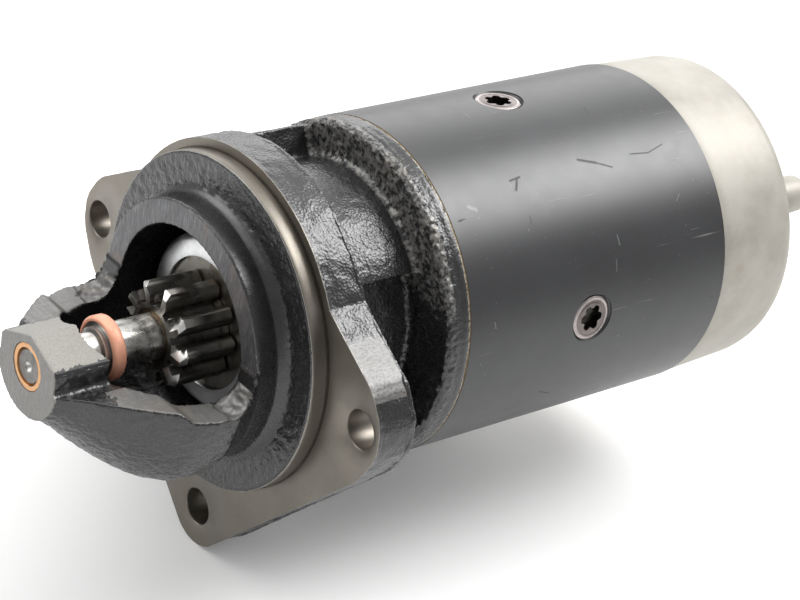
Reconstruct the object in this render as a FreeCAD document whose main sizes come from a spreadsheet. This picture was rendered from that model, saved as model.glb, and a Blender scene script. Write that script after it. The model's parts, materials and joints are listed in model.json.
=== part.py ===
import FreeCAD, Part
import math
import os
import Sketcher

# Starter motor with a nose bearing: a series-wound motor, a roller clutch with its pinion
# on helical splines, and a solenoid that throws the pinion forward through a lever.
# The origin is the centre of the flange's mounting face, on the shaft axis.
# +X runs along the shaft to the rear, +Z is up, and the bottom mounting hole is at -Z.

os.makedirs("parts", exist_ok=True)
doc = FreeCAD.newDocument("starter_motor")

# ---------------------------------------------------------------- driving dimensions

# Millimetres and degrees. X stations ending in _x are measured from the mounting face.
DIMENSIONS = {
    # nose and window
    "nose_end_x": -71.8, "nose_boss_x": -52.0, "nose_round": 16.4, "nose_half_width": 15.3,
    "bush_end_x": -57.0, "room_end_x": -56.8,
    "roof_apex": 10.8, "roof_edge": 5.4, "roof_half_width": 14.0,
    "shell_radius": 45.3, "shell_wall": 11.8, "shell_full_x": -42.3, "band_radius": 42.0,
    "band_x": -17.0, "lip_low": -5.0, "lip_high": -2.0,
    # pilot, flange and lugs
    "pilot_radius": 55.0, "pilot_length": 6.5, "flange_thickness": 14.5, "flange_arc": 58.3,
    "hole_circle": 72.0, "hole_radius": 6.25, "lug_radius": 14.0, "lug_clip": 81.0,
    "upper_edge_angle": 31.0, "upper_edge_meet": 30.4,
    # neck and rear ring
    "neck_radius": 45.0, "deep_neck_radius": 38.0, "drum_radius": 56.0, "ring_x": 45.6,
    "ring_radius": 57.0, "recess_start": 62.0, "recess_deep": 145.0, "recess_end": 206.0,
    "gasket_thickness": 0.4, "plate_x": 48.5, "plate_seat": 52.5, "plate_thickness": 6.0,
    # yoke, poles and cover
    "yoke_x": 55.0, "yoke_end_x": 169.5, "yoke_radius": 57.0, "yoke_wall": 6.0,
    "pole_x": 108.3, "pole_angle": 85.0, "pole_length": 52.0, "pole_face": 34.1,
    "pole_screw_head": 8.25, "pole_screw_shank": 4.5, "cover_radius": 56.5,
    "cover_end_x": 207.0, "cover_wall": 3.0, "boss_circle": 41.0, "boss_angle": 152.0,
    "boss_radius": 6.75, "boss_end_x": 224.0, "bolt_circle": 45.0, "bolt_angle": 40.0,
    "bolt_radius": 3.0,
    # shaft and armature
    "nose_journal": 6.0, "bush_outer": 7.6, "shaft_radius": 7.4, "centre_journal": 10.0,
    "rear_journal": 7.0, "shaft_end_x": -71.2, "shaft_rear_x": 202.0, "core_x": 76.0,
    "core_length": 56.0, "core_radius": 33.4, "slot_count": 19, "commutator_x": 146.0,
    "commutator_end_x": 172.0, "commutator_radius": 21.0, "run_gap": 0.04,
    "spline_x": 14.0, "spline_end_x": 47.5, "spline_radius": 9.4, "spline_root": 8.2,
    "spline_count": 8, "spline_lead": 172.0,
    # pinion and clutch
    "pinion_teeth": 9, "tooth_module": 3.0, "pinion_tip": 17.2, "pinion_root": 10.4,
    "pinion_front_x": -27.0, "pinion_back_x": -6.9, "tooth_angle": 21.0, "race_radius": 12.5,
    "entry_crest": 0.8, "entry_reach": 3.6, "entry_depth": 2.9, "tip_chamfer": 1.5,
    "tip_chamfer_length": 2.3,
    "race_end_x": 11.5, "cover_front_x": -7.5, "clutch_radius": 27.6, "cover_cup": 29.0,
    "cover_hole": 21.5, "ring_front_x": -4.2, "sleeve_flange_x": 12.0, "sleeve_radius": 13.4,
    "sleeve_end_x": 47.0, "travel": 14.2, "roller_radius": 3.0, "roller_count": 5,
    "collar_x": 31.5, "collar_end_x": 45.0, "collar_radius": 22.0, "groove_radius": 17.0,
    "groove_width": 8.5,
    # stop ring
    "stop_x": -47.1, "stop_end_x": -42.5, "stop_radius": 10.5,
    # shift lever
    "pivot_x": 30.0, "pivot_height": 49.2, "lever_tilt": 9.6, "lever_half": 3.6,
    "pivot_pin": 4.0, "lever_room": 16.0,
    # solenoid, on an axis parallel to the shaft
    "solenoid_height": 85.0, "solenoid_angle": -40.0, "case_radius": 26.5, "case_wall": 2.5,
    "case_x": 46.0, "case_end_x": 112.0, "plunger_radius": 9.95, "stroke": 10.3,
    "boss_front_x": 17.0, "boss_outer": 28.0, "cap_end_x": 141.0, "stud_radius": 4.0,
    "stud_offset": 13.0, "stud_end_x": 158.0,
}

sheet = doc.addObject("Spreadsheet::Sheet", "Sizes")
for row, (alias, amount) in enumerate(DIMENSIONS.items(), start=1):
    sheet.set(f"A{row}", alias)
    sheet.set(f"B{row}", str(amount))
    sheet.setAlias(f"B{row}", alias)
doc.recompute()


class Size:
    """A number that remembers the sheet expression it was worked out from."""

    def __init__(self, value, text):
        self.value = float(value)
        self.text = text

    def __add__(self, other):
        other = size(other)
        return Size(self.value + other.value, f"({self.text} + {other.text})")

    def __sub__(self, other):
        other = size(other)
        return Size(self.value - other.value, f"({self.text} - {other.text})")

    def __mul__(self, other):
        other = size(other)
        return Size(self.value * other.value, f"({self.text} * {other.text})")

    def __truediv__(self, other):
        other = size(other)
        return Size(self.value / other.value, f"({self.text} / {other.text})")

    def __neg__(self):
        return Size(-self.value, f"(0 - {self.text})")


def size(number):
    """Turn a plain number into a Size; a Size stays as it is."""
    return number if isinstance(number, Size) else Size(number, repr(float(number)))


def cos(angle):
    angle = size(angle)
    return Size(math.cos(math.radians(angle.value)), f"cos({angle.text})")


def sin(angle):
    angle = size(angle)
    return Size(math.sin(math.radians(angle.value)), f"sin({angle.text})")


class Dimensions:
    """Every sheet cell as an attribute: D.yoke_radius is the cell yoke_radius."""

    def __getattr__(self, alias):
        return Size(DIMENSIONS[alias], f"Sizes.{alias}")


D = Dimensions()


def bind(thing, path, amount):
    amount = size(amount)
    thing.setExpression(path, amount.text)


# ---------------------------------------------------------------- body and sketch helpers

def origin_feature(body, role):
    return [item for item in body.Origin.OriginFeatures if item.Role == role][0]


def new_body(label):
    body = doc.addObject("PartDesign::Body", label)
    body.Label = label
    return body


def place_point(sketch, edge, x, y):
    """Hold an edge's first point at (x, y), bound to the sheet."""
    for kind, amount, axis in (("DistanceX", size(x), -2), ("DistanceY", size(y), -1)):
        if amount.value == 0:
            sketch.addConstraint(Sketcher.Constraint("PointOnObject", edge, 1, axis))
        else:
            index = sketch.addConstraint(Sketcher.Constraint(kind, -1, 1, edge, 1, amount.value))
            bind(sketch, f"Constraints[{index}]", amount)


def add_outline(sketch, points):
    first = sketch.GeometryCount
    corners = [FreeCAD.Vector(size(x).value, size(y).value, 0) for x, y in points]
    count = len(corners)
    for i in range(count):
        sketch.addGeometry(Part.LineSegment(corners[i], corners[(i + 1) % count]))
    for i in range(count):
        after = first + (i + 1) % count
        sketch.addConstraint(Sketcher.Constraint("Coincident", first + i, 2, after, 1))
    for i, (x, y) in enumerate(points):
        place_point(sketch, first + i, x, y)


def add_circle(sketch, x, y, radius):
    centre = FreeCAD.Vector(size(x).value, size(y).value, 0)
    up = FreeCAD.Vector(0, 0, 1)
    edge = sketch.addGeometry(Part.Circle(centre, up, size(radius).value))
    for kind, amount, axis in (("DistanceX", size(x), -2), ("DistanceY", size(y), -1)):
        if amount.value == 0:
            sketch.addConstraint(Sketcher.Constraint("PointOnObject", edge, 3, axis))
        else:
            index = sketch.addConstraint(Sketcher.Constraint(kind, -1, 1, edge, 3, amount.value))
            bind(sketch, f"Constraints[{index}]", amount)
    index = sketch.addConstraint(Sketcher.Constraint("Radius", edge, size(radius).value))
    bind(sketch, f"Constraints[{index}]", radius)


def new_sketch(body, name, plane, outlines=(), circles=(), offset=0):
    """A sketch on one of the body's origin planes, moved along its normal by offset."""
    sketch = body.newObject("Sketcher::SketchObject", name)
    sketch.AttachmentSupport = [(origin_feature(body, plane), "")]
    sketch.MapMode = "FlatFace"
    bind(sketch, "AttachmentOffset.Base.z", offset)
    for points in outlines:
        add_outline(sketch, points)
    for x, y, radius in circles:
        add_circle(sketch, x, y, radius)
    return sketch


def turned(label, *outlines):
    """A body turned about the X axis from (x, radius) outlines."""
    body = new_body(label)
    sketch = new_sketch(body, label + "_section", "XZ_Plane", outlines)
    turn = body.newObject("PartDesign::Revolution", label + "_turn")
    turn.Profile = (sketch, [""])
    turn.ReferenceAxis = (sketch, ["H_Axis"])
    turn.Angle = 360
    return body


def tube(label, x0, x1, inner, outer):
    """A plain tube or washer on the X axis; inner 0 makes a solid rod."""
    return turned(label, [(x0, inner), (x1, inner), (x1, outer), (x0, outer)])


def spun(label, *outlines):
    """A body turned about the Z axis from (radius, z) outlines."""
    body = new_body(label)
    sketch = new_sketch(body, label + "_section", "XZ_Plane", outlines)
    turn = body.newObject("PartDesign::Revolution", label + "_turn")
    turn.Profile = (sketch, [""])
    turn.ReferenceAxis = (sketch, ["V_Axis"])
    turn.Angle = 360
    return body


def pad_x(body, name, x0, x1, outlines=(), circles=()):
    """A pad with a (y, z) outline between two X stations."""
    sketch = new_sketch(body, name + "_sketch", "YZ_Plane", outlines, circles, x0)
    pad = body.newObject("PartDesign::Pad", name)
    pad.Profile = (sketch, [""])
    bind(pad, "Length", size(x1) - x0)
    return pad


def padded(label, x0, x1, outlines=(), circles=()):
    body = new_body(label)
    pad_x(body, label + "_pad", x0, x1, outlines, circles)
    return body


def cross_pad(label, width, outlines=(), circles=()):
    """A body with an (x, z) outline, padded half of width to each side of the XZ plane."""
    body = new_body(label)
    sketch = new_sketch(body, label + "_sketch", "XZ_Plane", outlines, circles)
    pad = body.newObject("PartDesign::Pad", label + "_pad")
    pad.Profile = (sketch, [""])
    pad.Midplane = True
    bind(pad, "Length", width)
    return body


def boolean(kind, label, base, tools):
    """Cut the tools from the base, or fuse them to it."""
    joined = tools[0]
    if len(tools) > 1:
        joined = doc.addObject("Part::MultiFuse", label + "_tools")
        joined.Shapes = tools
    result = doc.addObject("Part::" + kind, label)
    result.Base = base
    result.Tool = joined
    result.Label = label
    return result


def fused(label, pieces):
    result = doc.addObject("Part::MultiFuse", label)
    result.Shapes = pieces
    result.Label = label
    return result


def grouped(label, pieces):
    """One node of several separate solids."""
    group = doc.addObject("Part::Compound", label)
    group.Links = pieces
    group.Label = label
    return group


def rolled(body, angle, y=0, z=0, x=0):
    """Roll a body about the X axis and move it to (x, y, z)."""
    body.Placement = FreeCAD.Placement(FreeCAD.Vector(), FreeCAD.Rotation(FreeCAD.Vector(1, 0, 0), 1))
    bind(body, "Placement.Rotation.Angle", angle)
    bind(body, "Placement.Base.x", x)
    bind(body, "Placement.Base.y", y)
    bind(body, "Placement.Base.z", z)
    return body


def box(label, x0, x1, y0, y1, z0, z1):
    solid = doc.addObject("Part::Box", label)
    for path, low, high in (("Length", x0, x1), ("Width", y0, y1), ("Height", z0, z1)):
        bind(solid, path, size(high) - low)
    for path, low in (("x", x0), ("y", y0), ("z", z0)):
        bind(solid, "Placement.Base." + path, low)
    return solid


def around(label, make_one, count, first_angle=0):
    """Copies of one piece at even steps round the X axis, as separate solids."""
    pieces = []
    for i in range(count):
        turn = size(first_angle) + 360.0 / count * i
        pieces.append(rolled(make_one(f"{label}_{i + 1}"), turn))
    return pieces


def sector(label, x0, x1, inner, outer, start, sweep):
    """A ring section between two angles, measured from +Y towards +Z."""
    body = new_body(label)
    points = [(x0, inner), (x1, inner), (x1, outer), (x0, outer)]
    sketch = new_sketch(body, label + "_section", "XY_Plane", [points])
    turn = body.newObject("PartDesign::Revolution", label + "_turn")
    turn.Profile = (sketch, [""])
    turn.ReferenceAxis = (sketch, ["H_Axis"])
    bind(turn, "Angle", sweep)
    return rolled(body, start)


NODES = []


def node(part):
    """Mark a finished piece for export under its own label."""
    NODES.append(part)
    return part


SOLENOID_Y = D.solenoid_height * cos(D.solenoid_angle)
SOLENOID_Z = D.solenoid_height * sin(D.solenoid_angle)
# The lever, plunger and solenoid are drawn upright, above the shaft along +Z, and then
# rolled about the shaft by this angle to where they sit.
LEVER_ROLL = D.solenoid_angle - 90


# ---------------------------------------------------------------- drive end bracket

def bracket_blank():
    outer = turned("bracket_outer", [
        (D.nose_end_x, 0), (D.nose_end_x, D.nose_round), (D.nose_end_x + 4.4, 19.0),
        (D.nose_end_x + 9.4, 23.3), (D.nose_end_x + 14.9, 28.6), (D.nose_end_x + 23.5, 35.8),
        (D.shell_full_x, 40.2), (D.shell_full_x + 5.5, 43.4),
        (D.shell_full_x + 11, D.shell_radius), (-24, D.shell_radius),
        (-20, D.band_radius + 1.4), (D.band_x, D.band_radius), (-9, D.band_radius),
        (-7.2, D.band_radius + 1.5), (-D.pilot_length, D.band_radius + 4),
        (-D.pilot_length, D.pilot_radius), (0, D.pilot_radius),
        (D.flange_thickness, D.pilot_radius), (D.flange_thickness, D.drum_radius),
        (D.ring_x - 2, D.drum_radius), (D.ring_x, D.ring_radius - 1.4),
        (D.ring_x + 1.5, D.ring_radius), (D.yoke_x - D.gasket_thickness, D.ring_radius),
        (D.yoke_x - D.gasket_thickness, 0)])
    turn = D.upper_edge_angle
    meet = D.upper_edge_meet
    lug_y = D.hole_circle + D.lug_radius * sin(turn)
    lug_z = D.lug_radius * cos(turn)
    slant = D.lug_radius * cos(45)
    right = [(D.flange_arc * cos(meet), D.flange_arc * sin(meet)), (lug_y, lug_z),
             (D.hole_circle + slant, -slant), (slant, -D.hole_circle - slant)]
    left = [(-y, z) for y, z in reversed(right)]
    flange = padded("flange_web", 0, D.flange_thickness, [right + left])
    disc = padded("flange_disc", 0, D.flange_thickness, circles=[(0, 0, D.flange_arc)])
    lugs = []
    for name, y, z in (("left", -D.hole_circle, 0), ("right", D.hole_circle, 0),
                       ("bottom", 0, -D.hole_circle)):
        lug = padded("lug_" + name, 0, D.flange_thickness, circles=[(y, z, D.lug_radius)])
        lugs.append(lug)
    clip = [box("clip_" + name, -1, D.flange_thickness + 1, start, size(start) + 10, -20, 20)
            for name, start in (("left", -D.lug_clip - 10), ("right", D.lug_clip))]
    for name, way in (("left", -1), ("right", 1)):
        reach = D.lug_clip * way
        clip.append(padded("upper_corner_" + name, -1, D.flange_thickness + 1, [[
            (reach + way, 3.4), (reach + way, 15), (reach - 6.6 * way, 15)]]))
        clip.append(padded("lower_corner_" + name, -1, D.flange_thickness + 1, [[
            (reach + way, -3.6), (reach + way, -19), (reach - 7.4 * way, -19)]]))
    flange = boolean("Cut", "flange", fused("flange_whole", [flange, disc] + lugs), clip)

    boss = padded("solenoid_boss", D.boss_front_x, D.ring_x,
                  circles=[(0, D.solenoid_height, D.boss_outer)])
    web = padded("lever_housing", D.boss_front_x, D.ring_x,
                 [[(-22, 30), (22, 30), (22, D.solenoid_height), (-22, D.solenoid_height)]])
    housing = [rolled(item, LEVER_ROLL) for item in (boss, web)]
    return fused("bracket_blank", [outer, flange] + housing)


def bracket_cavity():
    inner = D.shell_radius - D.shell_wall
    room = turned("clutch_room", [
        (D.room_end_x, 0), (D.room_end_x, 8.6), (D.nose_boss_x, 14.8), (D.nose_boss_x + 4, 20),
        (D.nose_boss_x + 8, 25.3), (D.nose_boss_x + 12.5, 29.3), (D.nose_boss_x + 17, 31.8),
        (D.nose_boss_x + 23, inner), (D.plate_x, inner),
        (D.plate_x, D.plate_seat), (D.yoke_x + 1, D.plate_seat), (D.yoke_x + 1, 0)])
    bush_bore = turned("nose_bore", [
        (D.nose_end_x - 1, 0), (D.nose_end_x - 1, D.bush_outer),
        (D.room_end_x + 1, D.bush_outer), (D.room_end_x + 1, 0)])
    lever_slot = padded("lever_slot", D.boss_front_x + 2, D.plate_x + 0.5, [[
        (-D.lever_room, 0), (D.lever_room, 0), (D.lever_room, D.solenoid_height),
        (-D.lever_room, D.solenoid_height)]])
    plunger_room = padded("plunger_room", D.boss_front_x + 2, D.ring_x + 10,
                          circles=[(0, D.solenoid_height, 16)])
    lever_mouth = padded("lever_mouth", D.plate_x, D.yoke_x + 1, [[
        (-12, D.plate_seat - 6), (12, D.plate_seat - 6), (12, 64), (-12, 64)]])
    pin_hole = new_body("pivot_hole")
    pin_sketch = new_sketch(pin_hole, "pivot_hole_sketch", "XZ_Plane",
                            circles=[(D.pivot_x, D.pivot_height, D.pivot_pin)])
    pin_pad = pin_hole.newObject("PartDesign::Pad", "pivot_hole_pad")
    pin_pad.Profile = (pin_sketch, [""])
    pin_pad.Midplane = True
    pin_pad.Length = 60
    screw_holes = padded("solenoid_screw_holes", D.boss_front_x - 1, D.ring_x + 1, circles=[
        (side * 21.8, D.solenoid_height, 2.6) for side in (-1, 1)])
    screw_seats = [padded(f"screw_seat_{i}", D.boss_front_x - 1, D.boss_front_x + 1, circles=[
        (side * 21.8, D.solenoid_height, 5.2)]) for i, side in enumerate((-1, 1))]
    upright = [lever_slot, plunger_room, lever_mouth, pin_hole, screw_holes] + screw_seats
    for item in upright:
        rolled(item, LEVER_ROLL)
    return [room, bush_bore] + upright


def window_cuts():
    """The top of the nose is cut away down to the lips, and the boss keeps its flat roof."""
    opening = cross_pad("window", 130, [[
        (D.nose_boss_x, 80), (D.nose_boss_x, D.lip_high), (D.shell_full_x, D.lip_high),
        (D.shell_full_x + 4, D.lip_low), (-25, D.lip_low), (-21, D.lip_low + 1.6),
        (-18.4, D.lip_low + 6), (D.band_x, D.lip_low + 13), (D.band_x, 80)]])
    boss_z = D.roof_edge
    side = [(D.nose_half_width, D.lip_high), (70, D.lip_high), (70, 70), (-70, 70),
            (-70, D.lip_high), (-D.nose_half_width, D.lip_high),
            (-D.nose_half_width, boss_z - 1.5), (-D.roof_half_width, boss_z),
            (0, D.roof_apex), (D.roof_half_width, boss_z),
            (D.nose_half_width, boss_z - 1.5)]
    roof = padded("boss_roof", D.nose_end_x - 1, D.nose_boss_x + 0.5, [side])
    return [opening, roof]


def neck_recess():
    """The neck behind the flange is cut in on the side away from the lever."""
    start = D.flange_thickness
    shallow = sector("recess_shallow", start, D.ring_x, D.neck_radius, 60,
                     D.recess_start, D.recess_deep - D.recess_start)
    deep = sector("recess_deep", start, D.ring_x, D.deep_neck_radius, 60,
                  D.recess_deep, D.recess_end - D.recess_deep)
    return [shallow, deep]


def through_holes():
    holes = []
    spots = (("left", -D.hole_circle, 0), ("right", D.hole_circle, 0),
             ("bottom", 0, -D.hole_circle))
    for name, y, z in spots:
        holes.append(padded("ear_hole_" + name, -1, D.flange_thickness + 3,
                            circles=[(y, z, D.hole_radius)]))
    for i, angle in enumerate((D.bolt_angle, D.bolt_angle + 180)):
        hole = padded(f"bolt_thread_{i}", 29, D.plate_x + 1,
                      circles=[(D.bolt_circle, 0, D.bolt_radius)])
        holes.append(rolled(hole, angle))
    return holes


def drive_end_bracket():
    tools = bracket_cavity() + window_cuts() + neck_recess() + through_holes()
    return boolean("Cut", "drive_end_bracket", bracket_blank(), tools)


node(drive_end_bracket())
node(tube("nose_bush", D.nose_end_x + 0.2, D.bush_end_x, D.nose_journal + D.run_gap,
          D.bush_outer))
node(tube("front_gasket", D.yoke_x - D.gasket_thickness, D.yoke_x, D.plate_seat,
          D.ring_radius - 0.2))


# ---------------------------------------------------------------- centre plate

def bolt_clearance(label, x0, x1):
    """Two clearance holes for the through bolts."""
    return [rolled(padded(f"{label}_{i}", x0, x1, circles=[(D.bolt_circle, 0, 3.2)]), angle)
            for i, angle in enumerate((D.bolt_angle, D.bolt_angle + 180))]


CENTRE_BUSH_OUTER = D.centre_journal + 2.5
plate_end = D.plate_x + D.plate_thickness
plate_blank = turned("plate_blank", [
    (D.plate_x, CENTRE_BUSH_OUTER), (plate_end + 1.5, CENTRE_BUSH_OUTER),
    (plate_end + 1.5, CENTRE_BUSH_OUTER + 3), (D.plate_x + 3, CENTRE_BUSH_OUTER + 5),
    (D.plate_x + 3, D.plate_seat - 5), (plate_end, D.plate_seat - 4),
    (plate_end, D.plate_seat - 0.05), (D.plate_x, D.plate_seat - 0.05)])
plug_gap = rolled(padded("plug_gap", D.plate_x - 1, plate_end + 1, [[
    (-12, D.plate_seat - 6), (12, D.plate_seat - 6), (12, 60), (-12, 60)]]), LEVER_ROLL)
node(boolean("Cut", "centre_plate", plate_blank,
             [plug_gap] + bolt_clearance("plate_hole", D.plate_x - 1, plate_end + 1)))
node(tube("centre_bush", D.plate_x, plate_end + 1.5, D.centre_journal + D.run_gap,
          CENTRE_BUSH_OUTER))
node(rolled(padded("lever_plug", D.plate_x, plate_end, [[
    (-11.8, D.plate_seat - 5.8), (11.8, D.plate_seat - 5.8), (11.8, 57.5), (-11.8, 57.5)]]),
    LEVER_ROLL))


# ---------------------------------------------------------------- yoke, poles and coils

YOKE_INNER = D.yoke_radius - D.yoke_wall
LEAD_X = 147.5
LEAD_ANGLE = D.solenoid_angle - 13.0


def pole_cutter(label, angle):
    """The countersunk hole of one pole screw."""
    cut = spun(label, [(0, YOKE_INNER - 1), (D.pole_screw_shank, YOKE_INNER - 1),
                       (D.pole_screw_shank, D.yoke_radius - 4.2),
                       (D.pole_screw_head + 0.35, D.yoke_radius - 0.6),
                       (D.pole_screw_head + 0.35, D.yoke_radius + 1), (0, D.yoke_radius + 1)])
    return rolled(cut, angle - 90, x=D.pole_x)


yoke_tube = tube("yoke_tube", D.yoke_x, D.yoke_end_x, YOKE_INNER, D.yoke_radius)
pole_cuts = [pole_cutter(f"pole_cut_{i}", D.pole_angle + 90 * i) for i in range(4)]
lead_cut = rolled(spun("lead_cut", [(0, YOKE_INNER - 2), (7, YOKE_INNER - 2),
                                    (7, D.yoke_radius + 2), (0, D.yoke_radius + 2)]),
                  LEAD_ANGLE - 90, x=LEAD_X)
node(boolean("Cut", "yoke", yoke_tube, pole_cuts + [lead_cut]))

POLE_FRONT = D.pole_x - D.pole_length / 2
POLE_REAR = D.pole_x + D.pole_length / 2
POLE_BODY_HALF = 16
POLE_TIP_HALF = 30
COIL_HALF = 39


def pole_shoe(label):
    """One pole shoe, centred on +Y: a stem against the yoke and wide tips at the air gap."""
    stem = sector(label + "_stem", POLE_FRONT, POLE_REAR, D.pole_face, YOKE_INNER,
                  -POLE_BODY_HALF, 2 * POLE_BODY_HALF)
    tips = sector(label + "_tips", POLE_FRONT, POLE_REAR, D.pole_face, D.pole_face + 3.6,
                  -POLE_TIP_HALF, 2 * POLE_TIP_HALF)
    hole = padded(label + "_hole", 0, 60, circles=[(0, 0, D.pole_screw_shank)])
    hole.Placement = FreeCAD.Placement(FreeCAD.Vector(), FreeCAD.Rotation(FreeCAD.Vector(0, 0, 1), 90))
    bind(hole, "Placement.Base.x", D.pole_x)
    bind(hole, "Placement.Base.y", D.pole_face + 5)
    return boolean("Cut", label, fused(label + "_solid", [stem, tips]), [hole])


node(grouped("pole_shoes", around("pole_shoe", pole_shoe, 4, D.pole_angle)))


def pole_screw(label):
    """One countersunk screw with a six-lobe socket, upright along +Z."""
    top = D.yoke_radius - 0.5
    screw = spun(label + "_turned", [
        (0, D.pole_face + 5.5), (D.pole_screw_shank, D.pole_face + 5.5),
        (D.pole_screw_shank, D.yoke_radius - 4.2), (D.pole_screw_head, D.yoke_radius - 0.9),
        (D.pole_screw_head, top), (0, top)])
    body = new_body(label + "_socket")
    lobes = []
    for i in range(12):
        reach = 4.3 if i % 2 == 0 else 3.0
        lobes.append((size(reach) * cos(30 * i), size(reach) * sin(30 * i)))
    sketch = new_sketch(body, label + "_star", "XY_Plane", [lobes], offset=top - 3.6)
    pad = body.newObject("PartDesign::Pad", label + "_star_pad")
    pad.Profile = (sketch, [""])
    pad.Length = 6
    return boolean("Cut", label, screw, [body])


def placed_screw(label, angle):
    return rolled(pole_screw(label), angle - 90, x=D.pole_x)


node(grouped("pole_screws", [placed_screw(f"pole_screw_{i + 1}", D.pole_angle + 90 * i)
                             for i in range(4)]))


def field_coil(label):
    """One flat winding that wraps a pole stem between its tips and the yoke."""
    inner = D.pole_face + 4.2
    outer = YOKE_INNER - 0.6
    whole = sector(label + "_block", POLE_FRONT - 9, POLE_REAR + 4, inner, outer,
                   -COIL_HALF, 2 * COIL_HALF)
    hole = sector(label + "_core", POLE_FRONT - 0.6, POLE_REAR + 0.6, inner - 1, outer + 1,
                  -POLE_BODY_HALF - 1, 2 * POLE_BODY_HALF + 2)
    return boolean("Cut", label, whole, [hole])


node(grouped("field_coils", around("field_coil", field_coil, 4, D.pole_angle)))
node(grouped("field_links", [
    sector(f"field_link_{i}", POLE_REAR + 4, POLE_REAR + 6.5, 38.5, 41.5,
           D.pole_angle + 90 * i + 31, 28) for i in range(3)]))

# ---------------------------------------------------------------- end cover and bolts

cover_inner = D.cover_radius - D.cover_wall
HUB_X = D.cover_end_x - 19
cover_blank = turned("cover_blank", [
    (D.yoke_end_x, D.cover_radius - 2.2), (D.yoke_end_x + 2, D.cover_radius - 2.2),
    (D.yoke_end_x + 2, cover_inner), (D.cover_end_x - 7, cover_inner - 0.6),
    (D.cover_end_x - 3.2, cover_inner - 5), (D.cover_end_x - 3.2, 14), (HUB_X, 14),
    (HUB_X, 9.5), (D.cover_end_x - 3.2, 9.5), (D.cover_end_x - 3.2, 0), (D.cover_end_x, 0),
    (D.cover_end_x, D.cover_radius - 6), (D.cover_end_x - 0.9, D.cover_radius - 3.2),
    (D.cover_end_x - 2.6, D.cover_radius - 1.6), (D.cover_end_x - 5.5, D.cover_radius - 1),
    (D.yoke_end_x + 5, D.cover_radius), (D.yoke_end_x, D.cover_radius)])
support_boss = turned("support_boss", [
    (D.cover_end_x - 1, 0), (D.cover_end_x - 1, D.boss_radius + 0.5),
    (D.boss_end_x - 2, D.boss_radius - 0.25), (D.boss_end_x - 0.6, D.boss_radius - 1),
    (D.boss_end_x, D.boss_radius - 2.4), (D.boss_end_x, 0)])
rolled(support_boss, D.boss_angle, y=D.boss_circle * cos(D.boss_angle),
       z=D.boss_circle * sin(D.boss_angle))
boss_thread = padded("boss_thread", D.boss_end_x - 12, D.boss_end_x + 1,
                     circles=[(D.boss_circle, 0, 2.5)])
rolled(boss_thread, D.boss_angle)
node(boolean("Cut", "end_cover", fused("cover_solid", [cover_blank, support_boss]),
             bolt_clearance("cover_hole", D.cover_end_x - 5, D.cover_end_x + 1)
             + [boss_thread]))
node(tube("rear_bush", HUB_X, D.cover_end_x - 4, D.rear_journal + D.run_gap, 9.5))


def through_bolt(label):
    """One long bolt on the bolt circle: a threaded shank and a hexagon head."""
    body = padded(label, 31, D.cover_end_x + 1.2, circles=[(D.bolt_circle, 0, D.bolt_radius)])
    across = 5.0 / math.cos(math.radians(30))
    hexagon = [(D.bolt_circle + size(across) * cos(60 * i), size(across) * sin(60 * i))
               for i in range(6)]
    pad_x(body, label + "_head", D.cover_end_x + 1.2, D.cover_end_x + 5.2, [hexagon])
    return body


def bolt_washer(label):
    body = padded(label, D.cover_end_x, D.cover_end_x + 1.2, circles=[
        (D.bolt_circle, 0, 6.2), (D.bolt_circle, 0, D.bolt_radius)])
    return body


node(grouped("through_bolts", around("through_bolt", through_bolt, 2, D.bolt_angle)))
node(grouped("bolt_washers", around("bolt_washer", bolt_washer, 2, D.bolt_angle)))

# ---------------------------------------------------------------- brush gear

BRUSH_X = 152
BRUSH_WIDTH = 15
BRUSH_HALF = 4.5
BRUSH_TOP = 36.5
brush_disc = tube("brush_disc", D.yoke_end_x, D.yoke_end_x + 2, 25, D.cover_radius - 2.25)
node(boolean("Cut", "brush_plate", brush_disc,
             bolt_clearance("disc_hole", D.yoke_end_x - 1, D.yoke_end_x + 3)))


def brush_block(label, x0, x1, half, low, high):
    """A block on the radial line of +Y."""
    return padded(label, x0, x1, [[(low, -half), (high, -half), (high, half), (low, half)]])


def brush_holder(label):
    """One folded box that guides a brush, open on the inside and at the top."""
    outside = brush_block(label + "_out", BRUSH_X - 1.6, D.yoke_end_x, BRUSH_HALF + 1.7,
                          D.commutator_radius + 2.5, BRUSH_TOP - 4)
    inside = brush_block(label + "_in", BRUSH_X - 0.1, BRUSH_X + BRUSH_WIDTH + 0.1,
                         BRUSH_HALF + 0.1, D.commutator_radius, BRUSH_TOP)
    return boolean("Cut", label, outside, [inside])


node(grouped("brush_holders", around("brush_holder", brush_holder, 4, D.pole_angle)))


def brush(label, angle):
    block = brush_block(label + "_block", BRUSH_X, BRUSH_X + BRUSH_WIDTH, BRUSH_HALF,
                        D.commutator_radius - 2, BRUSH_TOP)
    face = tube(label + "_face", BRUSH_X - 1, BRUSH_X + BRUSH_WIDTH + 1, 0,
                D.commutator_radius + D.run_gap)
    whole = boolean("Cut", label, block, [face])
    return rolled(whole, angle)


for i in range(4):
    node(brush(f"brush_{i + 1}", D.pole_angle + 90 * i))


def brush_spring(label):
    """A rolled strip spring beside the holder, with an arm across the brush's top."""
    body = padded(label, BRUSH_X + 4, BRUSH_X + 11, circles=[
        (D.commutator_radius + 20, 10.5, 4.5), (D.commutator_radius + 20, 10.5, 3.3)])
    pad_x(body, label + "_arm", BRUSH_X + 4, BRUSH_X + 11, [[
        (BRUSH_TOP, -2), (BRUSH_TOP + 0.8, -2), (BRUSH_TOP + 1.0, 9.5), (BRUSH_TOP + 0.2, 9.5)]])
    return body


node(grouped("brush_springs", around("brush_spring", brush_spring, 4, D.pole_angle)))

# ---------------------------------------------------------------- shaft and armature


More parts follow.
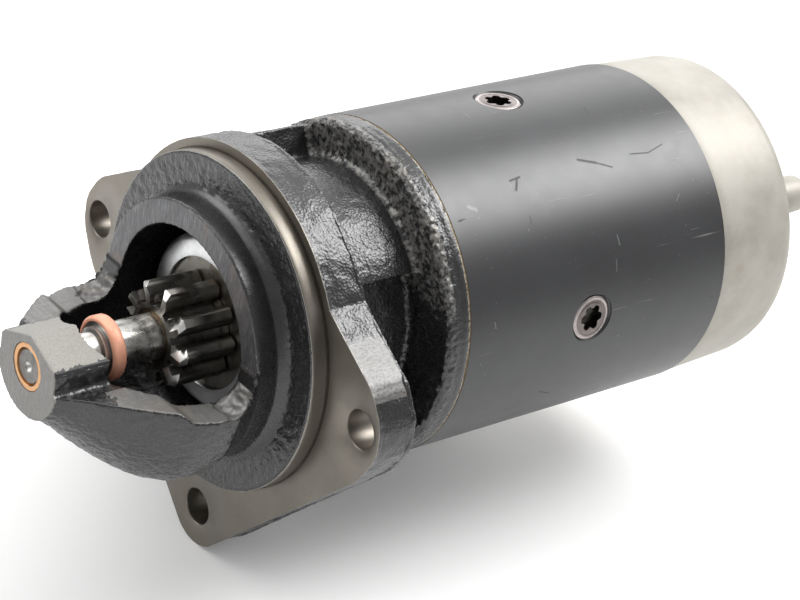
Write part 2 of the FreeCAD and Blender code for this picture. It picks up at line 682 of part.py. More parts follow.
def helix_ring(x, tip, root, narrow, wide):
    """The splined section at station x, turned by the helix."""
    turn = -360.0 * x / D.spline_lead.value
    count = int(D.spline_count.value)
    corners = []
    for i in range(count):
        for off, radius in ((-wide, root), (-narrow, tip), (narrow, tip), (wide, root)):
            angle = math.radians(360.0 / count * i + off + turn)
            corners.append(FreeCAD.Vector(x, radius * math.cos(angle), radius * math.sin(angle)))
    return Part.makePolygon(corners + corners[:1])


def helix_solid(label, x0, x1, tip, root, narrow, wide):
    """A splined bar whose teeth follow the helix, in short straight-ruled steps."""
    steps = max(2, math.ceil((x1 - x0) / 4.8))
    stations = [x0 + (x1 - x0) * i / steps for i in range(steps + 1)]
    bar = doc.addObject("Part::Feature", label)
    bar.Shape = Part.makeLoft([helix_ring(x, tip, root, narrow, wide) for x in stations],
                              True, True)
    return bar


shaft_turned = turned("shaft_turned", [
    (D.shaft_end_x, 0), (D.shaft_end_x, D.nose_journal - 0.8),
    (D.shaft_end_x + 0.8, D.nose_journal), (D.stop_x - 2, D.nose_journal),
    (D.stop_x - 1.4, D.shaft_radius), (D.stop_x + 0.4, D.shaft_radius),
    (D.stop_x + 0.4, D.shaft_radius - 0.8), (D.stop_x + 2, D.shaft_radius - 0.8),
    (D.stop_x + 2, D.shaft_radius), (D.spline_x + 1, D.shaft_radius),
    (D.spline_end_x, D.shaft_radius), (D.spline_end_x, D.centre_journal),
    (D.commutator_end_x + 1, D.centre_journal), (D.commutator_end_x + 1, D.rear_journal),
    (D.shaft_rear_x - 1, D.rear_journal), (D.shaft_rear_x, D.rear_journal - 1),
    (D.shaft_rear_x, 0)])
shaft_splines = helix_solid("shaft_splines", D.spline_x.value, D.spline_end_x.value,
                            D.spline_radius.value, D.spline_root.value, 8, 13)
centre_drill = turned("centre_drill", [
    (D.shaft_end_x - 1, 0), (D.shaft_end_x - 1, 2.6), (D.shaft_end_x + 1.6, 1),
    (D.shaft_end_x + 4, 1), (D.shaft_end_x + 4.6, 0)])
node(boolean("Cut", "armature_shaft", fused("shaft_solid", [shaft_turned, shaft_splines]),
             [centre_drill]))

CORE_END = D.core_x + D.core_length
SLOT_STEP = 360.0 / D.slot_count.value


def core_slot(label):
    """One winding slot on the line of +Y: a round-backed slot with a narrow mouth."""
    body = padded(label, D.core_x - 1, CORE_END + 1, [[
        (22, -2.2), (31.6, -2.2), (31.6, 2.2), (22, 2.2)]])
    pad_x(body, label + "_mouth", D.core_x - 1, CORE_END + 1, [[
        (31, -0.9), (36, -0.9), (36, 0.9), (31, 0.9)]])
    return body


core_blank = tube("core_blank", D.core_x, CORE_END, D.centre_journal, D.core_radius)
node(boolean("Cut", "armature_core", core_blank,
             around("core_slot", core_slot, int(D.slot_count.value))))


def slot_bar(label):
    """The copper of one slot, reaching both end turns."""
    return padded(label, D.core_x - 3, CORE_END + 3, [[
        (22.2, -1.9), (31.4, -1.9), (31.4, 1.9), (22.2, 1.9)]])


end_turns = [
    turned("front_turns", [(D.core_x - 13, 19), (D.core_x - 1.5, 16), (D.core_x - 1.5, 31.8),
                           (D.core_x - 9, 31.8), (D.core_x - 13, 28)]),
    turned("rear_turns", [(CORE_END + 1.5, 14.5), (D.commutator_x, 14.5),
                          (D.commutator_x, 23), (CORE_END + 9, 30), (CORE_END + 1.5, 31.8)])]
node(fused("armature_winding",
           end_turns + around("slot_bar", slot_bar, int(D.slot_count.value))))

bars_blank = turned("bars_blank", [
    (D.commutator_x, 14), (D.commutator_end_x, 14),
    (D.commutator_end_x, D.commutator_radius - 0.6),
    (D.commutator_end_x - 0.6, D.commutator_radius),
    (D.commutator_x + 3.5, D.commutator_radius), (D.commutator_x + 3.5, 24.5),
    (D.commutator_x, 24.5)])


def bar_gap(label):
    """The undercut mica between two bars."""
    return padded(label, D.commutator_x - 1, D.commutator_end_x + 1, [[
        (12, -0.35), (26, -0.35), (26, 0.35), (12, 0.35)]])


node(boolean("Cut", "commutator_bars", bars_blank,
             around("bar_gap", bar_gap, int(D.slot_count.value))))
node(tube("commutator_hub", D.commutator_x + 0.2, D.commutator_end_x, D.centre_journal, 14))
node(turned("stop_ring", [
    (D.stop_x, 8.9), (D.stop_x + 2, 8.9), (D.stop_x + 2, D.shaft_radius),
    (D.stop_end_x, D.shaft_radius), (D.stop_end_x, D.stop_radius - 0.7),
    (D.stop_end_x - 0.7, D.stop_radius), (D.stop_x + 0.7, D.stop_radius),
    (D.stop_x, D.stop_radius - 0.7)]))
node(tube("stop_snap_ring", D.stop_x + 0.5, D.stop_x + 1.9, D.shaft_radius - 0.8, 8.8))
node(tube("thrust_washer", D.commutator_end_x + 1, D.commutator_end_x + 2.4,
          D.rear_journal, 12))

# ---------------------------------------------------------------- pinion


def involute_flank(base, radius):
    """Angle on the involute of the base circle at a radius."""
    turn = math.sqrt(max((radius / base) ** 2 - 1, 0))
    return turn - math.atan(turn)


def tooth_outline():
    """The teeth with involute flanks, as corner points round the gear."""
    teeth = int(D.pinion_teeth.value)
    pitch = D.tooth_module.value * teeth / 2
    base = pitch * math.cos(math.radians(20))
    tip = D.pinion_tip.value
    root = D.pinion_root.value
    half_pitch = math.pi / (2 * teeth) + 0.062
    at_pitch = involute_flank(base, pitch)
    steps = 5
    points = []
    for i in range(teeth):
        centre = math.radians(D.tooth_angle.value) + 2 * math.pi * i / teeth
        flank = []
        for j in range(steps + 1):
            radius = max(base, root) + (tip - max(base, root)) * j / steps
            flank.append((radius, half_pitch + at_pitch - involute_flank(base, radius)))
        foot = (root, flank[0][1] - 0.02)
        side = [foot] + flank
        for radius, off in side:
            points.append((radius * math.cos(centre - off), radius * math.sin(centre - off)))
        for radius, off in reversed(side):
            points.append((radius * math.cos(centre + off), radius * math.sin(centre + off)))
    return points


def entry_cuts():
    """Prisms that slope the front of each tooth back from a crest towards its trailing flank."""
    front = D.pinion_front_x.value
    crest = D.entry_crest.value
    reach = D.entry_reach.value
    low = D.pinion_root.value + 0.3
    high = D.pinion_tip.value + 1
    prisms = []
    for i in range(int(D.pinion_teeth.value)):
        section = [(front, crest), (front + D.entry_depth.value, crest - reach),
                   (front - 1, crest - reach), (front - 1, crest)]
        corners = [FreeCAD.Vector(x, low, across) for x, across in section]
        prism = Part.Face(Part.makePolygon(corners + corners[:1])).extrude(
            FreeCAD.Vector(0, high - low, 0))
        prism.rotate(FreeCAD.Vector(0, 0, 0), FreeCAD.Vector(1, 0, 0),
                     D.tooth_angle.value + 360 * i / D.pinion_teeth.value)
        prisms.append(prism)
    return prisms


def pinion_gear():
    """The toothed length with chamfered front ends, the bore, and the clutch's inner race."""
    outline = [FreeCAD.Vector(D.pinion_front_x.value, y, z) for y, z in tooth_outline()]
    teeth = doc.addObject("Part::Feature", "pinion_teeth_bar")
    length = D.pinion_back_x.value - D.pinion_front_x.value
    bar = Part.Face(Part.makePolygon(outline + outline[:1])).extrude(
        FreeCAD.Vector(length, 0, 0))
    teeth.Shape = bar.cut(entry_cuts())
    chamfer = turned("pinion_chamfer", [
        (D.pinion_front_x, 0), (D.pinion_front_x, D.pinion_tip - D.tip_chamfer),
        (D.pinion_front_x + D.tip_chamfer_length, D.pinion_tip + 0.1),
        (D.pinion_back_x - 0.6, D.pinion_tip + 0.1), (D.pinion_back_x, D.pinion_tip - 0.6),
        (D.pinion_back_x, 0)])
    trimmed = boolean("Common", "pinion_trimmed", teeth, [chamfer])
    race = tube("inner_race", D.pinion_back_x - 0.5, D.race_end_x, 0, D.race_radius)
    neck = tube("pinion_neck", D.pinion_back_x - 1.5, D.pinion_back_x, 0, D.race_radius - 0.6)
    bore = tube("pinion_bore", D.pinion_front_x - 1, D.race_end_x + 1, 0, 9)
    return boolean("Cut", "pinion", fused("pinion_solid", [trimmed, race, neck]), [bore])


if D.pinion_front_x.value - D.travel.value < D.stop_end_x.value:
    raise ValueError("the pinion would run into the stop ring")
node(pinion_gear())
node(tube("pinion_bush", D.pinion_front_x + 0.4, D.race_end_x, D.shaft_radius + D.run_gap, 9))

# ---------------------------------------------------------------- clutch and drive sleeve

POCKET_STEP = 360.0 / D.roller_count.value
RING_END = D.sleeve_flange_x


def roller_pocket(label):
    """A wedge pocket: deep beside the spring and narrow where the roller grips."""
    reach = D.race_radius + D.roller_radius * 2
    return padded(label, D.ring_front_x + 1.5, RING_END + 1, [[
        (10, -3.3), (reach + 0.15, -3.3), (reach + 1.7, 9.5), (10, 9.5)]])


clutch_blank = tube("clutch_blank", D.ring_front_x, RING_END, D.race_radius + 0.25,
                    D.clutch_radius)
node(boolean("Cut", "clutch_ring", clutch_blank,
             around("roller_pocket", roller_pocket, int(D.roller_count.value))))


def clutch_roller(label):
    return padded(label, D.ring_front_x + 2, RING_END - 0.3, circles=[
        (D.race_radius + D.roller_radius + 0.05, 0, D.roller_radius)])


node(grouped("clutch_rollers", around("clutch_roller", clutch_roller,
                                      int(D.roller_count.value))))
node(tube("clutch_washer", D.cover_front_x + 1.3, D.ring_front_x, D.race_radius + 0.3,
          D.clutch_radius))
node(turned("clutch_cover", [
    (D.cover_front_x, D.cover_hole), (D.cover_front_x + 1.3, D.cover_hole),
    (D.cover_front_x + 1.3, D.clutch_radius), (RING_END + 4.2, D.clutch_radius),
    (RING_END + 4.2, D.clutch_radius - 3), (RING_END + 5.4, D.clutch_radius - 3),
    (RING_END + 5.4, D.cover_cup - 1), (RING_END + 4.4, D.cover_cup),
    (D.cover_front_x + 2.6, D.cover_cup), (D.cover_front_x + 0.9, D.cover_cup - 0.6),
    (D.cover_front_x, D.cover_cup - 2.4)]))

sleeve_blank = turned("sleeve_blank", [
    (D.sleeve_flange_x, 0), (D.sleeve_flange_x, D.clutch_radius),
    (D.sleeve_flange_x + 4.2, D.clutch_radius), (D.sleeve_flange_x + 4.2, D.sleeve_radius),
    (D.collar_end_x + 0.2, D.sleeve_radius), (D.collar_end_x + 0.2, D.sleeve_radius - 1),
    (D.collar_end_x + 1.4, D.sleeve_radius - 1), (D.collar_end_x + 1.4, D.sleeve_radius),
    (D.sleeve_end_x, D.sleeve_radius), (D.sleeve_end_x, 0)])
sleeve_bore = tube("sleeve_bore", D.sleeve_flange_x - 1, D.spline_x + 7, 0,
                   D.spline_radius + 0.6)
sleeve_splines = helix_solid("sleeve_splines", D.spline_x.value + 6, D.sleeve_end_x.value + 1,
                             D.spline_radius.value + 0.4, D.spline_root.value + 0.5, 13, 19.5)
node(boolean("Cut", "drive_sleeve", sleeve_blank, [sleeve_bore, sleeve_splines]))


def spring_section(x, angle, mean, wire):
    """A hexagon across the wire at one point of a coil."""
    corners = []
    for i in range(6):
        off = math.radians(60 * i)
        radius = mean + wire * math.cos(off)
        corners.append(FreeCAD.Vector(x + wire * math.sin(off), radius * math.cos(angle),
                                      radius * math.sin(angle)))
    return Part.makePolygon(corners + corners[:1])


def coil_spring(label, x0, x1, mean, wire, turns):
    """A compression spring on the X axis, in short straight steps round each turn."""
    steps = 16 * turns
    run = x1 - x0 - 2 * wire
    sections = [spring_section(x0 + wire + run * i / steps, 2 * math.pi * turns * i / steps,
                               mean, wire) for i in range(steps + 1)]
    spring = doc.addObject("Part::Feature", label)
    spring.Shape = Part.makeLoft(sections, True, True)
    spring.Label = label
    return spring


def roller_spring(label, angle):
    """A small coil that pushes a roller towards the narrow end of its pocket."""
    spring = coil_spring(label, 3.2, 9.2, 1.5, 0.3, 5)
    across = FreeCAD.Rotation(FreeCAD.Vector(0, 1, 0), -90)
    roll = FreeCAD.Rotation(FreeCAD.Vector(1, 0, 0), angle)
    spot = FreeCAD.Vector(4.5, D.race_radius.value + 3.4, 0)
    spring.Placement = FreeCAD.Placement(roll.multVec(spot), roll.multiply(across))
    return spring


node(grouped("roller_springs", [roller_spring(f"roller_spring_{i + 1}", POCKET_STEP * i)
                                for i in range(int(D.roller_count.value))]))
node(coil_spring("meshing_spring", D.sleeve_flange_x.value + 5.5, D.collar_x.value - 0.1,
                 D.sleeve_radius.value + 2.2, 1.5, 3))
groove_x = (D.collar_x + D.collar_end_x) / 2 - D.groove_width / 2
node(turned("guide_collar", [
    (D.collar_x, D.sleeve_radius + D.run_gap), (D.collar_end_x, D.sleeve_radius + D.run_gap),
    (D.collar_end_x, D.collar_radius - 0.6), (D.collar_end_x - 0.6, D.collar_radius),
    (groove_x + D.groove_width, D.collar_radius), (groove_x + D.groove_width, D.groove_radius),
    (groove_x, D.groove_radius), (groove_x, D.collar_radius),
    (D.collar_x + 0.6, D.collar_radius), (D.collar_x, D.collar_radius - 0.6)]))
node(tube("collar_snap_ring", D.collar_end_x + 0.25, D.collar_end_x + 1.35,
          D.sleeve_radius - 1, D.sleeve_radius + 1.2))

# ---------------------------------------------------------------- shift lever

GROOVE_CENTRE = groove_x + D.groove_width / 2
LEVER_TOP = D.solenoid_height - D.pivot_height


def tilt_lever(body):
    """Lean a piece drawn about the pivot to its rest angle, then roll it into place."""
    lean = FreeCAD.Rotation(FreeCAD.Vector(0, 1, 0), -D.lever_tilt.value)
    roll = FreeCAD.Rotation(FreeCAD.Vector(1, 0, 0), LEVER_ROLL.value)
    up = FreeCAD.Vector(D.pivot_x.value, 0, D.pivot_height.value)
    body.Placement = FreeCAD.Placement(roll.multVec(up), roll.multiply(lean))
    return body


def shift_lever():
    """A fork below the pivot, and a single arm with a slot for the plunger pin above it."""
    low = -D.pivot_height - 5.5
    outside = [(26, low), (26, -D.pivot_height + 11), (13, -D.pivot_height + 33), (10, -9),
               (8, 0), (8, 7), (5.2, 12), (5.2, LEVER_TOP + 5)]
    inside = [(0, -D.pivot_height + 27), (12, -D.pivot_height + 24),
              (22.8, -D.pivot_height + 9), (22.8, low)]
    left = [(-size(y), z) for y, z in reversed(outside)]
    left_inside = [(-size(y), z) for y, z in reversed(inside[1:])]
    plate = padded("lever_plate", -D.lever_half, D.lever_half,
                   [outside + left + left_inside + inside])
    barrel = cross_pad("lever_barrel", 26, circles=[(0, 0, D.pivot_pin + 4)])
    bore = cross_pad("lever_bore", 60, circles=[(0, 0, D.pivot_pin + D.run_gap)])
    slot = cross_pad("lever_slot_cut", 60, [[
        (-2.7, LEVER_TOP - 3.6), (2.7, LEVER_TOP - 3.6), (2.7, LEVER_TOP + 3.6),
        (-2.7, LEVER_TOP + 3.6)]])
    pad_holes = cross_pad("lever_pad_holes", 80, circles=[(0, -D.pivot_height, 2.5)])
    lever = boolean("Cut", "shift_lever", fused("lever_solid", [plate, barrel]),
                    [bore, slot, pad_holes])
    return tilt_lever(lever)


def lever_pad(label, side):
    """A round pad in the collar's groove, with a peg through the fork's arm."""
    body = new_body(label)
    for name, radius, y0, y1 in (("pad", 3.8, 17.4, 22.8), ("peg", 2.5, 22.8, 26.4)):
        sketch = new_sketch(body, f"{label}_{name}_sketch", "XZ_Plane",
                            circles=[(0, -D.pivot_height, radius)], offset=-side * y0)
        pad = body.newObject("PartDesign::Pad", f"{label}_{name}")
        pad.Profile = (sketch, [""])
        pad.Length = y1 - y0
        pad.Reversed = side > 0
    return tilt_lever(body)


node(shift_lever())
node(grouped("lever_pads", [lever_pad("lever_pad_left", -1), lever_pad("lever_pad_right", 1)]))
node(rolled(cross_pad("lever_pivot_pin", 43, circles=[
    (D.pivot_x, D.pivot_height, D.pivot_pin)]), LEVER_ROLL))

# ---------------------------------------------------------------- solenoid


def on_solenoid(body):
    """Move a piece drawn on the shaft axis to the solenoid's axis."""
    return rolled(body, LEVER_ROLL, y=SOLENOID_Y, z=SOLENOID_Z)


PIN_X = D.pivot_x - LEVER_TOP * sin(D.lever_tilt)
SEAT_X = D.case_x + 13
COIL_END = D.case_end_x - 7
case_inner = D.case_radius - D.case_wall
case_blank = turned("case_blank", [
    (D.case_x, 14.6), (SEAT_X, 14.6), (SEAT_X, D.plunger_radius + 0.1),
    (SEAT_X + 1.5, D.plunger_radius + 0.1), (SEAT_X + 1.5, 16.2), (D.case_x + 5, 16.2),
    (D.case_x + 5, case_inner), (D.case_end_x, case_inner), (D.case_end_x, D.case_radius),
    (D.case_x, D.case_radius)])
case_holes = padded("case_screw_holes", D.case_x - 1, D.case_x + 6,
                    circles=[(-21.8, 0, 2.5), (21.8, 0, 2.5)])
case_cut = boolean("Cut", "solenoid_case", case_blank, [case_holes])
node(on_solenoid(case_cut))


def solenoid_screw(label, side):
    body = padded(label, D.boss_front_x - 4, D.boss_front_x + 1, circles=[(side * 21.8, 0, 5)])
    pad_x(body, label + "_shank", D.boss_front_x + 1, D.case_x + 4.5,
          circles=[(side * 21.8, 0, 2.5)])
    return on_solenoid(body)


node(grouped("solenoid_screws", [solenoid_screw("solenoid_screw_a", -1),
                                 solenoid_screw("solenoid_screw_b", 1)]))
node(on_solenoid(turned("solenoid_bobbin", [
    (SEAT_X + 1.6, D.plunger_radius + D.run_gap), (COIL_END, D.plunger_radius + D.run_gap),
    (COIL_END, 23.6), (COIL_END - 1.5, 23.6), (COIL_END - 1.5, 11.4), (SEAT_X + 3.1, 11.4),
    (SEAT_X + 3.1, 23.6), (SEAT_X + 1.6, 23.6)])))
node(on_solenoid(tube("solenoid_winding", SEAT_X + 3.2, COIL_END - 1.6, 11.5, 23)))
PLUNGER_END = COIL_END - 21
node(on_solenoid(turned("solenoid_core", [
    (PLUNGER_END + D.stroke + 1, 2.7), (D.case_end_x - 1.5, 2.7),
    (D.case_end_x - 1.5, case_inner - 0.1), (COIL_END + 0.1, case_inner - 0.1),
    (COIL_END + 0.1, D.plunger_radius), (PLUNGER_END + D.stroke + 1, D.plunger_radius)])))

plunger_blank = turned("plunger_blank", [
    (D.boss_front_x + 3, 0), (D.boss_front_x + 3, 7), (D.boss_front_x + 4, 8), (31, 8),
    (31, 13.6), (32.6, 13.6), (32.6, D.plunger_radius), (PLUNGER_END, D.plunger_radius),
    (PLUNGER_END, 0)])
plunger_slot = box("plunger_slot", D.boss_front_x + 2, 30.2, -5.6, 5.6, -20, 20)
pin_bore = cross_pad("plunger_pin_bore", 60, circles=[(PIN_X, 0, 2.4)])
plunger_cut = boolean("Cut", "plunger", plunger_blank, [plunger_slot, pin_bore])
node(on_solenoid(plunger_cut))
node(on_solenoid(cross_pad("plunger_pin", 15.4, circles=[(PIN_X, 0, 2.4)])))
return_spring = coil_spring("plunger_return_spring", 32.7, SEAT_X.value - 0.1, 12.4, 0.8, 6)
node(on_solenoid(return_spring))

# The moving contact: an insulated copper bridge on a rod that the plunger pushes.
BRIDGE_X = 117.4
rod = tube("contact_rod", PLUNGER_END + D.stroke + 2.6, BRIDGE_X + 4, 0, 2.5)
bridge_disc = padded("bridge_disc", BRIDGE_X, BRIDGE_X + 2, [[
    (-18, -5), (18, -5), (18, 5), (-18, 5)]])
node(on_solenoid(fused("contact_bridge", [rod, bridge_disc])))

cap_blank = turned("cap_blank", [
    (D.case_end_x, 20.5), (D.case_end_x + 15, 20.5), (D.case_end_x + 15, 0),
    (D.cap_end_x, 0), (D.cap_end_x, 19), (D.cap_end_x - 4, 23.5), (D.case_end_x + 3, 25.6),
    (D.case_end_x, D.case_radius)])
cap_holes = padded("cap_holes", D.case_end_x + 14, D.cap_end_x + 1, circles=[
    (-D.stud_offset, 0, D.stud_radius), (D.stud_offset, 0, D.stud_radius)])
cap_small = padded("cap_small_hole", D.case_end_x + 14, D.cap_end_x + 1,
                   circles=[(0, 13, 2)])
node(on_solenoid(boolean("Cut", "solenoid_cap", cap_blank, [cap_holes, cap_small])))


def terminal_stud(label, side):
    body = padded(label, 122.4, D.case_end_x + 15, circles=[(D.stud_offset * side, 0, 6.4)])
    pad_x(body, label + "_shank", D.case_end_x + 15, D.stud_end_x,
          circles=[(D.stud_offset * side, 0, D.stud_radius)])
    return on_solenoid(body)


def hex_ring(label, x0, x1, side):
    """A 13 mm hexagon nut on one of the two large studs."""
    reach = 6.5 / math.cos(math.radians(30))
    centre = D.stud_offset * side
    corners = [(centre + size(reach) * cos(60 * i + 30), size(reach) * sin(60 * i + 30))
               for i in range(6)]
    return on_solenoid(padded(label, x0, x1, [corners], [(centre, 0, D.stud_radius)]))


node(grouped("terminal_studs", [terminal_stud("battery_stud", -1),
                                terminal_stud("motor_stud", 1)]))
LEAD_THICK = 1.8
STRAP_X = 145.0
WASHER = 1.2
nuts = [hex_ring("battery_base_nut", D.cap_end_x, STRAP_X, -1),
        hex_ring("motor_base_nut", D.cap_end_x, STRAP_X, 1),
        hex_ring("motor_top_nut", STRAP_X + LEAD_THICK + WASHER, STRAP_X + 8.5, 1),
        hex_ring("battery_top_nut", STRAP_X + WASHER, STRAP_X + 7, -1)]
node(grouped("terminal_nuts", nuts))
washers = []
for name, x, side in (("motor", STRAP_X + LEAD_THICK, 1), ("battery", STRAP_X, -1)):
    washers.append(on_solenoid(padded(name + "_washer", x, x + WASHER, circles=[
        (D.stud_offset * side, 0, 7.6), (D.stud_offset * side, 0, D.stud_radius)])))
node(grouped("terminal_washers", washers))
node(on_solenoid(padded("switch_terminal", 124, D.cap_end_x + 10, circles=[(0, 13, 2)])))

# The copper strap from the motor stud down through the yoke's grommet to the field coils.
strap_top = padded("strap_eye", STRAP_X, STRAP_X + LEAD_THICK, [[
    (6.8, -6), (19.5, -6), (19.5, 6.5), (6.8, 6.5)]], [(D.stud_offset, 0, D.stud_radius)])
strap_leg = padded("strap_leg", STRAP_X, STRAP_X + LEAD_THICK, [[
    (9, -43), (17, -43), (17, -5.5), (9, -5.5)]])
node(on_solenoid(fused("motor_lead", [strap_top, strap_leg])))

grommet_body = spun("grommet_body", [
    (0, YOKE_INNER - 1.8), (8.6, YOKE_INNER - 1.8), (8.6, YOKE_INNER - 0.9),
    (7, YOKE_INNER - 0.9),
    (7, D.yoke_radius + 0.3), (8.8, D.yoke_radius + 0.3), (8.4, D.yoke_radius + 1.3),
    (0, D.yoke_radius + 1.3)])
rolled(grommet_body, LEAD_ANGLE - 90, x=LEAD_X)
grommet_slot = on_solenoid(padded("grommet_slot", STRAP_X, STRAP_X + LEAD_THICK, [[
    (9, -43), (17, -43), (17, 0), (9, 0)]]))
node(boolean("Cut", "lead_grommet", grommet_body, [grommet_slot]))

# ---------------------------------------------------------------- recompute, check, write

doc.recompute()
failed = [item.Name for item in doc.Objects if {"Invalid", "Error"} & set(item.State)]
for part in NODES:
    if part.Shape.isNull() or not part.Shape.isValid() or part.Shape.Volume <= 0:
        failed.append(part.Label)
if failed:
    raise RuntimeError("these objects failed: " + ", ".join(failed))
for part in NODES:
    part.Shape.exportStep(f"parts/{part.Label}.step")
print(len(NODES), "parts written")
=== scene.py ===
"""Looks of the starter motor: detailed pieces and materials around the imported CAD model."""

import json
import math

import bmesh
import bpy
import numpy as np
from mathutils import Matrix, Vector, geometry, noise

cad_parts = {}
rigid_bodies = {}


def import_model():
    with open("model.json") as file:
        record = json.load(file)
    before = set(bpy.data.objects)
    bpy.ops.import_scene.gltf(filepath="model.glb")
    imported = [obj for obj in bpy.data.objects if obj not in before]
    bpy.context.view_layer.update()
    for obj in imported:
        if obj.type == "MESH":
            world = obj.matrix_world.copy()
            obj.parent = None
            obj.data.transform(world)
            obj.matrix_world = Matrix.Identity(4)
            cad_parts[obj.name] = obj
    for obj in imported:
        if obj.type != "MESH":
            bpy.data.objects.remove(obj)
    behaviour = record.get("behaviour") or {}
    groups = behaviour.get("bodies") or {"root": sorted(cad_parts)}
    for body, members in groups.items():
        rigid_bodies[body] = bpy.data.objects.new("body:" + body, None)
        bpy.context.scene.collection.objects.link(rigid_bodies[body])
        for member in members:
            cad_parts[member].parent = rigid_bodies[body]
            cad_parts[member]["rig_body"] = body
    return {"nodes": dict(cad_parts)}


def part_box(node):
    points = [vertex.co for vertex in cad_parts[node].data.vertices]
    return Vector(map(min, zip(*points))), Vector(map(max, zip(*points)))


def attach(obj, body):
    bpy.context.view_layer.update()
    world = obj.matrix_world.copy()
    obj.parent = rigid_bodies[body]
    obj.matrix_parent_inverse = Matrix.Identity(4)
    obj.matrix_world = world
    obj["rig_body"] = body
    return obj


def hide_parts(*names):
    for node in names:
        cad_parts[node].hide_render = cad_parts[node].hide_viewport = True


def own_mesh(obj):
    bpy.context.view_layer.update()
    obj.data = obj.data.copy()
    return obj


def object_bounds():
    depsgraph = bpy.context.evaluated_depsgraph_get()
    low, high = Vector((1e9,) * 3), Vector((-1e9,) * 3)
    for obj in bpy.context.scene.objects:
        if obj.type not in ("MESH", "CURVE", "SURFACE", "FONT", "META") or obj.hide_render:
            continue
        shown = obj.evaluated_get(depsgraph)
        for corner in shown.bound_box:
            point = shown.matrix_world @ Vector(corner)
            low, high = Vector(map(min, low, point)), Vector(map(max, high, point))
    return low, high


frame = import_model()
CAD_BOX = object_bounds()
NODES = frame["nodes"]
MM = 0.001

# ---------------------------------------------------------------- sizes in millimetres


def box_mm(node):
    """The lowest and highest corners of a CAD node, in millimetres."""
    low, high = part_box(node)
    return low / MM, high / MM


BRACKET_LOW, BRACKET_HIGH = box_mm("drive_end_bracket")
NOSE_X = BRACKET_LOW.x
YOKE_R = box_mm("yoke")[1].z
COVER_FRONT = box_mm("end_cover")[0].x
PINION_FRONT = box_mm("pinion")[0].x

BAND_X = -17.0            # ground face at the rear of the window
BAND_R = 42.0             # machined band in front of the pilot
PILOT_X = -6.5
PILOT_R = 55.0
PILOT_GROOVE = 0.5
FLANGE_BACK = 14.5
FLANGE_R = 58.3
RIM_ROUND = 1.6           # rounding of the rim's rear edge
FRONT_ROUND = 0.5
BACK_STEP = 1.3           # spacing of the points on the flange's rough rear face
RING_POINTS = 360
BORE_POINTS = 240
HOLE_POINTS = 64
HOLE_R = 6.25
LUG_R = 14.0
LUG_CIRCLE = 72.0
HOLES = ((LUG_CIRCLE, 0), (-LUG_CIRCLE, 0), (0, -LUG_CIRCLE))
LUG_SIDE = -BRACKET_LOW.y
LUG_CORNERS = ((74.56, -17.24), (LUG_SIDE, -5.43), (LUG_SIDE, 4.93), (74.51, 14.83))
UPPER_MEET = 30.4         # degrees round the flange where the side lug meets the arc
FACET = (158.0, 159.5, 171.0, 172.5)    # degrees round the rim: facet starts, full, ends, gone
BORE_R = 33.5             # clutch room
BORE_EDGE = BORE_R + 0.4
BUSH_BORE_R = 8.4
ROOF_APEX = 10.8          # height of the boss's roof ridge
ROOF_EDGE = 5.4
ROOF_HALF = 14.0
ROOF_BACK = -51.2
ROOF_BARE_BACK = -52.6
SKIN_BACK = -46.0         # every surface in front of this takes the cast skin
LIP_FRONT = -56.0
LIP_LOW, LIP_HIGH = -6.5, 8.5
TORN_FRONT = -28.0
RING_FRONT = (44.0, 49.5)     # X range of the rear ring's rough front face
RING_FRONT_R = 36.0
NECK_ROOM_R = 53.0        # hollow of the rear ring
COLLAR_R = 54.0
NOSE_VOXEL = 0.62
NECK_VOXEL = 0.74

# ---------------------------------------------------------------- mesh helpers


def make_mesh(name, vertices, faces):
    """A mesh from millimetre points."""
    mesh = bpy.data.meshes.new(name)
    mesh.from_pydata([tuple(c * MM for c in v) for v in vertices], [], faces)
    mesh.update()
    return mesh


def add_piece(name, mesh, body, slot, materials, *nodes, smooth=35):
    """A visible piece on a CAD body, standing for the CAD nodes named."""
    piece = bpy.data.objects.new(name, mesh)
    bpy.context.scene.collection.objects.link(piece)
    mesh.materials.clear()
    for material in materials:
        mesh.materials.append(material)
    mesh.shade_smooth()
    mesh.set_sharp_from_angle(angle=math.radians(smooth))
    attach(piece, body)
    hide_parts(*nodes)
    return piece


def clean(mesh, merge=1e-6):
    """Merges doubled points, drops empty faces and turns the faces outwards."""
    work = bmesh.new()
    work.from_mesh(mesh)
    bmesh.ops.remove_doubles(work, verts=work.verts, dist=merge)
    bmesh.ops.dissolve_degenerate(work, dist=merge / 2, edges=work.edges)
    bmesh.ops.recalc_face_normals(work, faces=work.faces)
    work.to_mesh(mesh)
    work.free()
    return mesh


def lofted(rings):
    """Quads between rings that hold the same number of points."""
    count = len(rings[0])
    vertices = [v for ring in rings for v in ring]
    faces = []
    for i in range(len(rings) - 1):
        for j in range(count):
            k = (j + 1) % count
            faces.append((i * count + j, i * count + k, (i + 1) * count + k, (i + 1) * count + j))
    return vertices, faces


def join(name, *parts):
    """One mesh from several lists of points and faces."""
    work = bmesh.new()
    for part in parts:
        mesh = make_mesh("part", *part)
        work.from_mesh(mesh)
        bpy.data.meshes.remove(mesh)
    loose = [v for v in work.verts if not v.link_faces]
    bmesh.ops.delete(work, geom=loose, context="VERTS")
    mesh = bpy.data.meshes.new(name)
    work.to_mesh(mesh)
    work.free()
    return clean(mesh)


def evaluated(thing):
    """The mesh of an object after its modifiers, and the object is deleted."""
    bpy.context.view_layer.update()
    graph = bpy.context.evaluated_depsgraph_get()
    mesh = bpy.data.meshes.new_from_object(thing.evaluated_get(graph))
    bpy.data.objects.remove(thing)
    return mesh


def temporary(name, mesh):
    """A plain object that holds a mesh while modifiers work on it."""
    thing = bpy.data.objects.new(name, mesh)
    bpy.context.scene.collection.objects.link(thing)
    return thing


